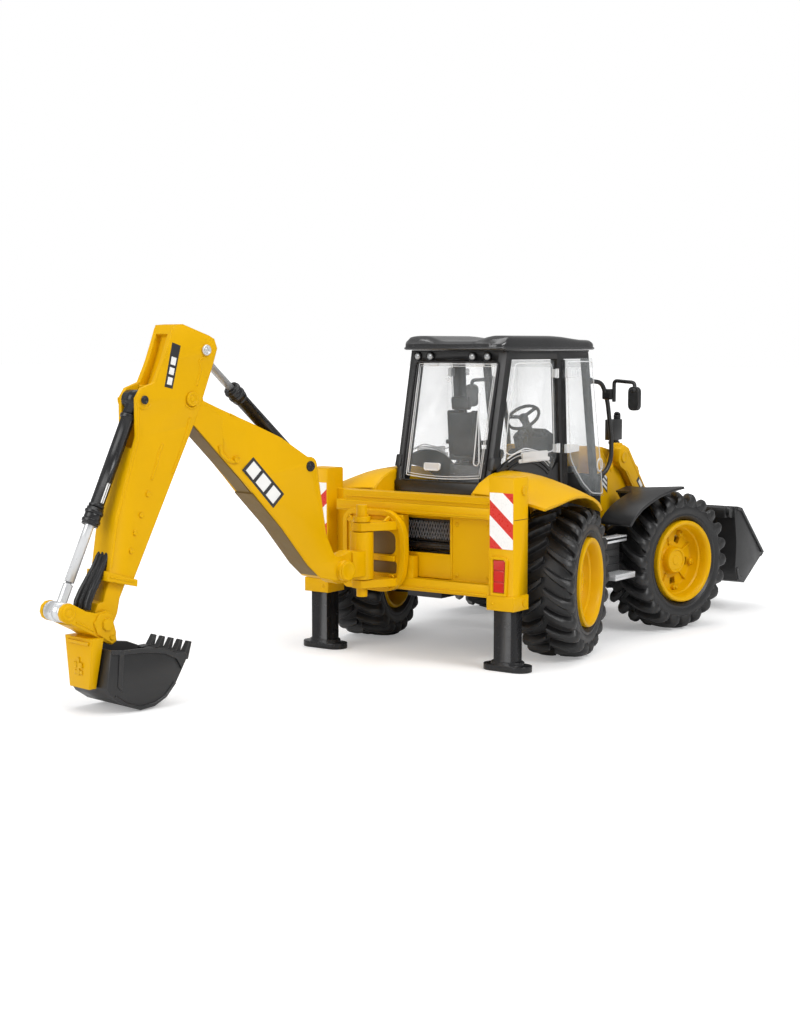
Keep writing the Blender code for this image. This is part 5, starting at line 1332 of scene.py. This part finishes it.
def steps(label, side):
    piece = Piece(f"tank_panel_{label}", "black", bevel=0.4)
    piece.put(block((50.2, 77.3), (side * 62.4, side * 64.6), (43.6, 63.1)))
    for z in (48.6, 53.4, 58.2):
        piece.put(block((51.6, 75.9), (side * 64.2, side * 65.2), (z - 0.5, z + 0.5)))
    piece.done()
    piece = Piece(f"step_treads_{label}", "silver", bevel=0.15)
    for z, edge in ((43.2, 76.5), (66.4, 70.0)):
        for k in range(9):
            x = 52.2 + k * 2.95
            piece.put(block((x - 0.5, x + 0.5), (side * 62.8, side * (edge - 1.0)),
                            (z - 0.2, z + 0.7)))
        piece.put(block((50.7, 76.8), (side * (edge - 1.1), side * edge), (z - 1.6, z + 0.8)))
    piece.done()


def tower_trim(label, side):
    piece = Piece(f"tower_trim_{label}", "yellow", bevel=0.3)
    piece.put(boss((124.6, side * 35.0, 73.6), 3.0, 0.5, 0.4))
    for x, z in ((102.6, 66.0), (102.4, 98.0), (118.0, 66.4)):
        piece.put(*screw((x, side * TOWER_Y, z), 1.5, 0.35))
    piece.put(rail(TOWER_RAIL, side * TOWER_Y, 0.3, 8))
    piece.done()


def loader_arm(label, side):
    Piece(f"arm_label_{label}", "film", "loader_arms", bevel=0).put(
        prism(LOADER_LABEL, side * 40.15, side * 40.32)).done()
    quad = LOADER_LABEL[3:] + LOADER_LABEL[:3]  # starts at the edge the bars are counted from
    bars = bars_across(quad, ((0.08, 0.3), (0.38, 0.62), (0.7, 0.92)), inset=0.2)
    Piece(f"arm_label_blocks_{label}", "film_pale", "loader_arms", bevel=0).put(
        *[prism(outline, side * 40.28, side * 40.42) for outline in bars]).done()
    y = side * LOADER_Y
    Piece(f"arm_trim_{label}", "yellow", "loader_arms", bevel=0.2).put(
        boss((127.0, y, 114.0), 4.0, 0.9, 0.3),
        boss((206.0, y, 59.0), 3.4, 0.4, 0.3),
        rail(LOADER_TOP_RAIL, y, 0.4, 8),
        rail(LOADER_LOW_RAIL, y, 0.4, 8),
    ).done()


def rail_ferrules(label, side):
    Piece(f"rail_ferrules_{label}", "black", bevel=0.1).put(
        lathe(FERRULE, 20, aim((83.4, side * 37.9, 166.0), (1, 0, 0))),
        lathe(FERRULE, 20, aim((98.2, side * 38.2, 102.4), (1, 0, 0.6))),
    ).done()


# ---------------------------------------------------------------- bonnet, engine, front bucket
EXHAUST_X, EXHAUST_Y = 140.0, -25.4
BUCKET_HALF = 84.0
# Outlines of (x, z)
CUTTING_EDGE = [(259.0, 36.6), (262.4, 39.4), (260.4, 40.6), (252.6, 35.2)]
EDGE_TOOTH = [(254.0, 35.6), (263.4, 41.6), (264.2, 40.4), (254.8, 33.8)]
SIDE_EDGE = [(221.0, 74.5), (213.5, 76.0), (213.2, 73.6), (220.6, 72.2), (257.0, 39.2),
             (260.5, 39.0)]
SIDE_HEEL = [(214.0, 31.4), (217.4, 23.4), (228.0, 21.0), (228.6, 23.0), (219.0, 25.4),
             (216.4, 32.4)]
BACK_RIB = [(212.6, 70.0), (211.2, 69.4), (213.4, 50.0), (211.9, 31.0), (213.4, 30.6),
            (215.2, 50.0)]


def bonnet():
    piece = Piece("bonnet_trim", "yellow", "bonnet", bevel=0.3)
    piece.put(rail([(101.0, 121.2), (130.0, 120.2), (167.0, 112.6), (183.0, 103.6)], 0, 0.6, 8))
    side_rib = [(101.0, 121.1), (130.0, 120.1), (167.0, 112.4), (182.6, 103.8)]
    for side in (1, -1):
        piece.put(rail(side_rib, side * 16.0, 0.5, 8))
    piece.done()
    piece = Piece("bonnet_grille", "gloss", "bonnet", bevel=0.15)
    for z in (84.4, 88.5, 92.5, 96.6):
        piece.put(block((187.2, 188.2), (-15.4, 15.4), (z - 0.5, z + 0.5)))
    for side in (1, -1):
        for k in range(6):
            x = 128.0 + 6.0 * k
            slat = [(x, 96.0), (x + 2.2, 96.0), (x + 4.6, 108.0), (x + 2.4, 108.0)]
            piece.put(prism(slat, side * 21.0, side * 21.38))
        piece.put(block((186.9, 188.2), (side * 15.0, side * 16.2), (84.0, 97.0)))
    piece.done()
    bezels = Piece("head_light_bezels", "gloss", "bonnet", bevel=0.1)
    lenses = Piece("head_light_lenses", "lens", "bonnet", bevel=0)
    for side in (1, -1):
        lamp_head(bezels, lenses, (186.0, side * 17.2, 99.4), (1, 0, 0.35), 3.2)
    bezels.done()
    lenses.done()


def exhaust():
    piece = Piece("exhaust_bands", "gloss", bevel=0.15)
    for z in (92.0, 108.0, 122.5):
        piece.put(lathe([(3.9, -0.9), (3.9, 0.9), (3.1, 0.9), (3.1, -0.9)], 28,
                        Matrix.Translation((EXHAUST_X, EXHAUST_Y, z))))
    bend = (EXHAUST_X + 4.0, EXHAUST_Y, 141.4)
    piece.put(bar((EXHAUST_X + 4.0, EXHAUST_Y, 138.0), bend, 2.4),
              bar(bend, (EXHAUST_X + 4.9, EXHAUST_Y, 142.6), 2.4, end_radius=2.0))
    piece.done()


def engine():
    """Five ribs on top and a six-bladed fan."""
    piece = Piece("engine_dressing", "grey", bevel=0.15)
    for k in range(5):
        piece.put(block((118.6 + 5.6 * k, 121.0 + 5.6 * k), (-6.0, 6.0), (104.6, 106.0)))
    hub = Matrix.Translation((156.0, 0, 92.0)) @ Matrix.Rotation(math.radians(90), 4, "Y")
    for degrees in range(0, 360, 60):
        piece.put(block((1.5, 8.0), (-1.5, 1.5), (-0.4, 0.5)),
                  at=hub @ Matrix.Rotation(math.radians(degrees), 4, "Z"))
    piece.done()


def front_bucket():
    piece = Piece("front_bucket_trim", "black", "front_bucket")
    piece.put(prism(CUTTING_EDGE, -BUCKET_HALF, BUCKET_HALF))
    for k in range(7):
        y = -72.0 + 24.0 * k
        piece.put(prism(EDGE_TOOTH, y - 3.0, y + 3.0))
    for side in (1, -1):
        piece.put(prism(SIDE_EDGE, side * 83.4, side * 85.0),
                  prism(SIDE_HEEL, side * 83.4, side * 84.8),
                  bar((208.5, side * 79.6, 72.0), (208.5, side * 82.6, 72.0), 4.0),
                  bar((208.5, side * 47.0, 72.0), (208.5, side * 80.0, 72.0), 3.9))
    for y in (-60.0, -20.0, 20.0, 60.0):
        piece.put(prism(BACK_RIB, y - 0.9, y + 0.9))
    piece.done()


# ---------------------------------------------------------------- boom underside: painted shade plates and tip cheeks (ARM frame)
# Outlines of (x, z)
BELLY_SHADE = [(127.0, 147.2), (98.0, 119.6), (72.0, 92.2), (56.0, 74.0),
         (55.0, 71.4), (71.6, 90.0), (98.2, 117.6), (128.0, 145.4)]
LOWER_SHADE_STRIP = [(90.6, 108.6), (91.8, 107.4), (70.3, 86.4), (50.8, 63.8), (42.6, 56.9),
               (41.4, 58.1), (49.4, 65.2), (68.8, 87.6)]
UPPER_SHADE_STRIP = [(130.6, 147.8), (131.8, 146.6), (98.5, 115.2), (91.0, 107.6), (89.8, 108.8),
               (97.1, 116.4)]
TIP_CHEEK = [(102.0, 119.2), (131.4, 147.4), (136.6, 153.0), (134.0, 157.6), (120.0, 157.0),
             (102.0, 142.0)]


def boom_belly_shade():
    # dark plates inside the boom's open underside: painted shade of the dim channel between its
    # side plates
    arm_piece("boom_belly_shade", "painted_shade", "boom", bevel=0.2).put(
        plate(BELLY_SHADE, -6.1, 6.1),
        plate(LOWER_SHADE_STRIP, -7.4, 7.4),
        plate(UPPER_SHADE_STRIP, -5.8, 5.8),
    ).done()
    cheeks = [plate(TIP_CHEEK, side * 5.2, side * 6.3) for side in (1, -1)]
    arm_piece("boom_tip_cheeks", "yellow", "boom", bevel=0.15).put(*cheeks).done()


# ---------------------------------------------------------------- tower labels, rails, mirrors
# Grab rail: (x, distance from the middle plane, z)
GRAB_RAIL = [(82.6, 37.7, 166.0), (95.0, 40.3, 164.9), (102.5, 40.5, 153.0), (105.6, 40.5, 140.0),
             (108.8, 40.5, 125.0), (108.6, 40.3, 113.0), (104.0, 39.4, 105.6), (97.5, 38.0, 101.9)]
MIRROR_STALK = [(100.0, 46.8, 152.0), (100.0, 46.8, 166.0), (97.1, 63.6, 165.0),
                (97.0, 63.6, 158.0)]
MIRROR_FACE = [(-4.6, -7.8), (4.6, -7.8), (4.6, 7.8), (-4.6, 7.8)]
MIRROR_KNUCKLE = [(0, 1.9), (1.6, 1.7), (2.2, 0.9), (2.2, -1.2), (0, -1.2)]


def tower_label(label, side):
    ground = [(105.4, 106.0), (113.4, 100.2), (113.4, 90.0), (105.4, 95.8)]
    Piece(f"tower_label_{label}", "film", bevel=0).put(
        prism(ground, side * 35.1, side * 35.34)).done()
    piece = Piece(f"tower_label_blocks_{label}", "film_pale", bevel=0)
    for z in (3.4, 0.0, -3.4):
        bar_outline = [(106.4, 101.6 + z), (112.4, 97.4 + z), (112.4, 95.6 + z), (106.4, 99.8 + z)]
        piece.put(prism(bar_outline, side * 35.28, side * 35.44))
    piece.done()


def grab_rail(label, side):
    line = rounded([(x, side * y, z) for x, y, z in GRAB_RAIL], 5.0, 5, False)
    bracket = rounded([(97.8, 153.5), (102.4, 153.5), (102.4, 160.5), (97.8, 160.5)], 1.4, 3)
    Piece(f"grab_rail_{label}_round", "black", bevel=0.3).put(
        sweep(line, 1.5, 16),
        prism(bracket, side * 39.0, side * 45.2),
    ).done(f"grab_rail_{label}")


def mirror(label, side):
    piece = Piece(f"mirror_{label}_round", "black", f"mirror_{label}", bevel=0.5, segments=3)
    stalk = [(x, side * y, z) for x, y, z in MIRROR_STALK]
    piece.put(sweep(rounded(stalk, 2.6, 5, False), 1.25, 14))
    place = Matrix.Translation((97.0, side * 63.6, 154.5))
    piece.put(prism(rounded(MIRROR_FACE, 3.9, 6), -1.5, 1.5, YZ),
              lathe(MIRROR_KNUCKLE, 20, Matrix.Translation((0, 0, 5.4))),
              at=place @ Matrix.Rotation(math.radians(12 * side), 4, "Z"))
    piece.done(f"mirror_{label}")


# ---------------------------------------------------------------- floor, light, camera (metres)
def floor():
    """A pale floor that glows for the camera, more so away from the middle."""
    mesh = bmesh.new()
    bmesh.ops.create_grid(mesh, x_segments=2, y_segments=2, size=12.0)
    obj = link_mesh("floor", mesh)
    obj.location.z = -0.0002
    mat, tree, shader = new_material("floor_paint")
    coord = object_coord(tree)
    soft = noise(tree, coord, scale=3.0, detail=2.0)
    pale = mixed(tree, spread(tree, soft), (0.80, 0.80, 0.805), (0.82, 0.82, 0.82))
    seen = add(tree, "ShaderNodeLightPath").outputs["Is Camera Ray"]
    away = add(tree, "ShaderNodeVectorMath", {0: coord}, operation="LENGTH").outputs["Value"]
    glow = span(tree, away, old=(0.25, 1.3), new=(0.34, 1.1))
    feed(tree, shader, {
        "Base Color": pale,
        "Emission Color": pale,
        "Emission Strength": calc(tree, "MULTIPLY", seen, glow),
        "Roughness": 0.6,
        "Specular IOR Level": 0.2,
    })
    obj.data.materials.append(mat)


def studio_world():
    """White all round: full strength for the camera, dimmer as a light."""
    world = bpy.data.worlds.new("studio")
    world.use_nodes = True
    tree = world.node_tree
    seen = add(tree, "ShaderNodeLightPath").outputs["Is Camera Ray"]
    strength = span(tree, seen, old=(0.0, 1.0), new=(0.42, 1.0))
    feed(tree, tree.nodes["Background"], {"Color": (1.0, 1.0, 1.0, 1.0), "Strength": strength})
    bpy.context.scene.world = world
    bpy.context.scene.view_settings.view_transform = "Standard"


def lamp(name, place, target, size, power):
    data = bpy.data.lights.new(name, "AREA")
    data.energy, data.size = power, size
    obj = bpy.data.objects.new(name, data)
    obj.location = place
    obj.rotation_mode = "QUATERNION"
    obj.rotation_quaternion = (Vector(target) - Vector(place)).to_track_quat("-Z", "Y")
    bpy.context.scene.collection.objects.link(obj)


def set_camera():
    pitch_down, heading = 0.097, 0.623  # radians; the heading is measured from +X
    data = bpy.data.cameras.new("camera")
    data.lens, data.sensor_width, data.sensor_fit = 60.27, 36.0, "AUTO"
    data.clip_start, data.clip_end = 0.05, 30.0
    obj = bpy.data.objects.new("camera", data)
    obj.location = (-0.8787, -0.5959, 0.1893)
    obj.rotation_euler = (math.radians(90) - pitch_down, 0.0, heading - math.radians(90))
    bpy.context.scene.collection.objects.link(obj)
    bpy.context.scene.camera = obj


# ---------------------------------------------------------------- build
def on_both_sides(*makers):
    for label, side in SIDES:
        for make in makers:
            make(label, side)


dress_cad()
wheels()
on_both_sides(hazard_plate, tail_light, column_trim)
frame_trim()
grille()
carriage()
arm_details()
rams()
hitch()
digging_teeth()
roof()
work_lights()
cab_seals()
rear_pane_beads(rear_pane())
on_both_sides(side_window, fender_ribs, door)
seat()
dash()
on_both_sides(steps, tower_trim, loader_arm, rail_ferrules)
bonnet()
exhaust()
engine()
front_bucket()
boom_belly_shade()
on_both_sides(tower_label)
on_both_sides(grab_rail, mirror)
floor()
studio_world()
lamp("key", (-0.35, -1.5, 1.35), target=(0, 0, 0.05), size=0.9, power=22.0)
lamp("rear_fill", (-1.7, 0.5, 0.9), target=(0, 0, 0.1), size=1.2, power=17.0)
lamp("top", (0.2, 0.1, 1.8), target=(0, 0, 0.0), size=1.4, power=17.0)
set_camera()
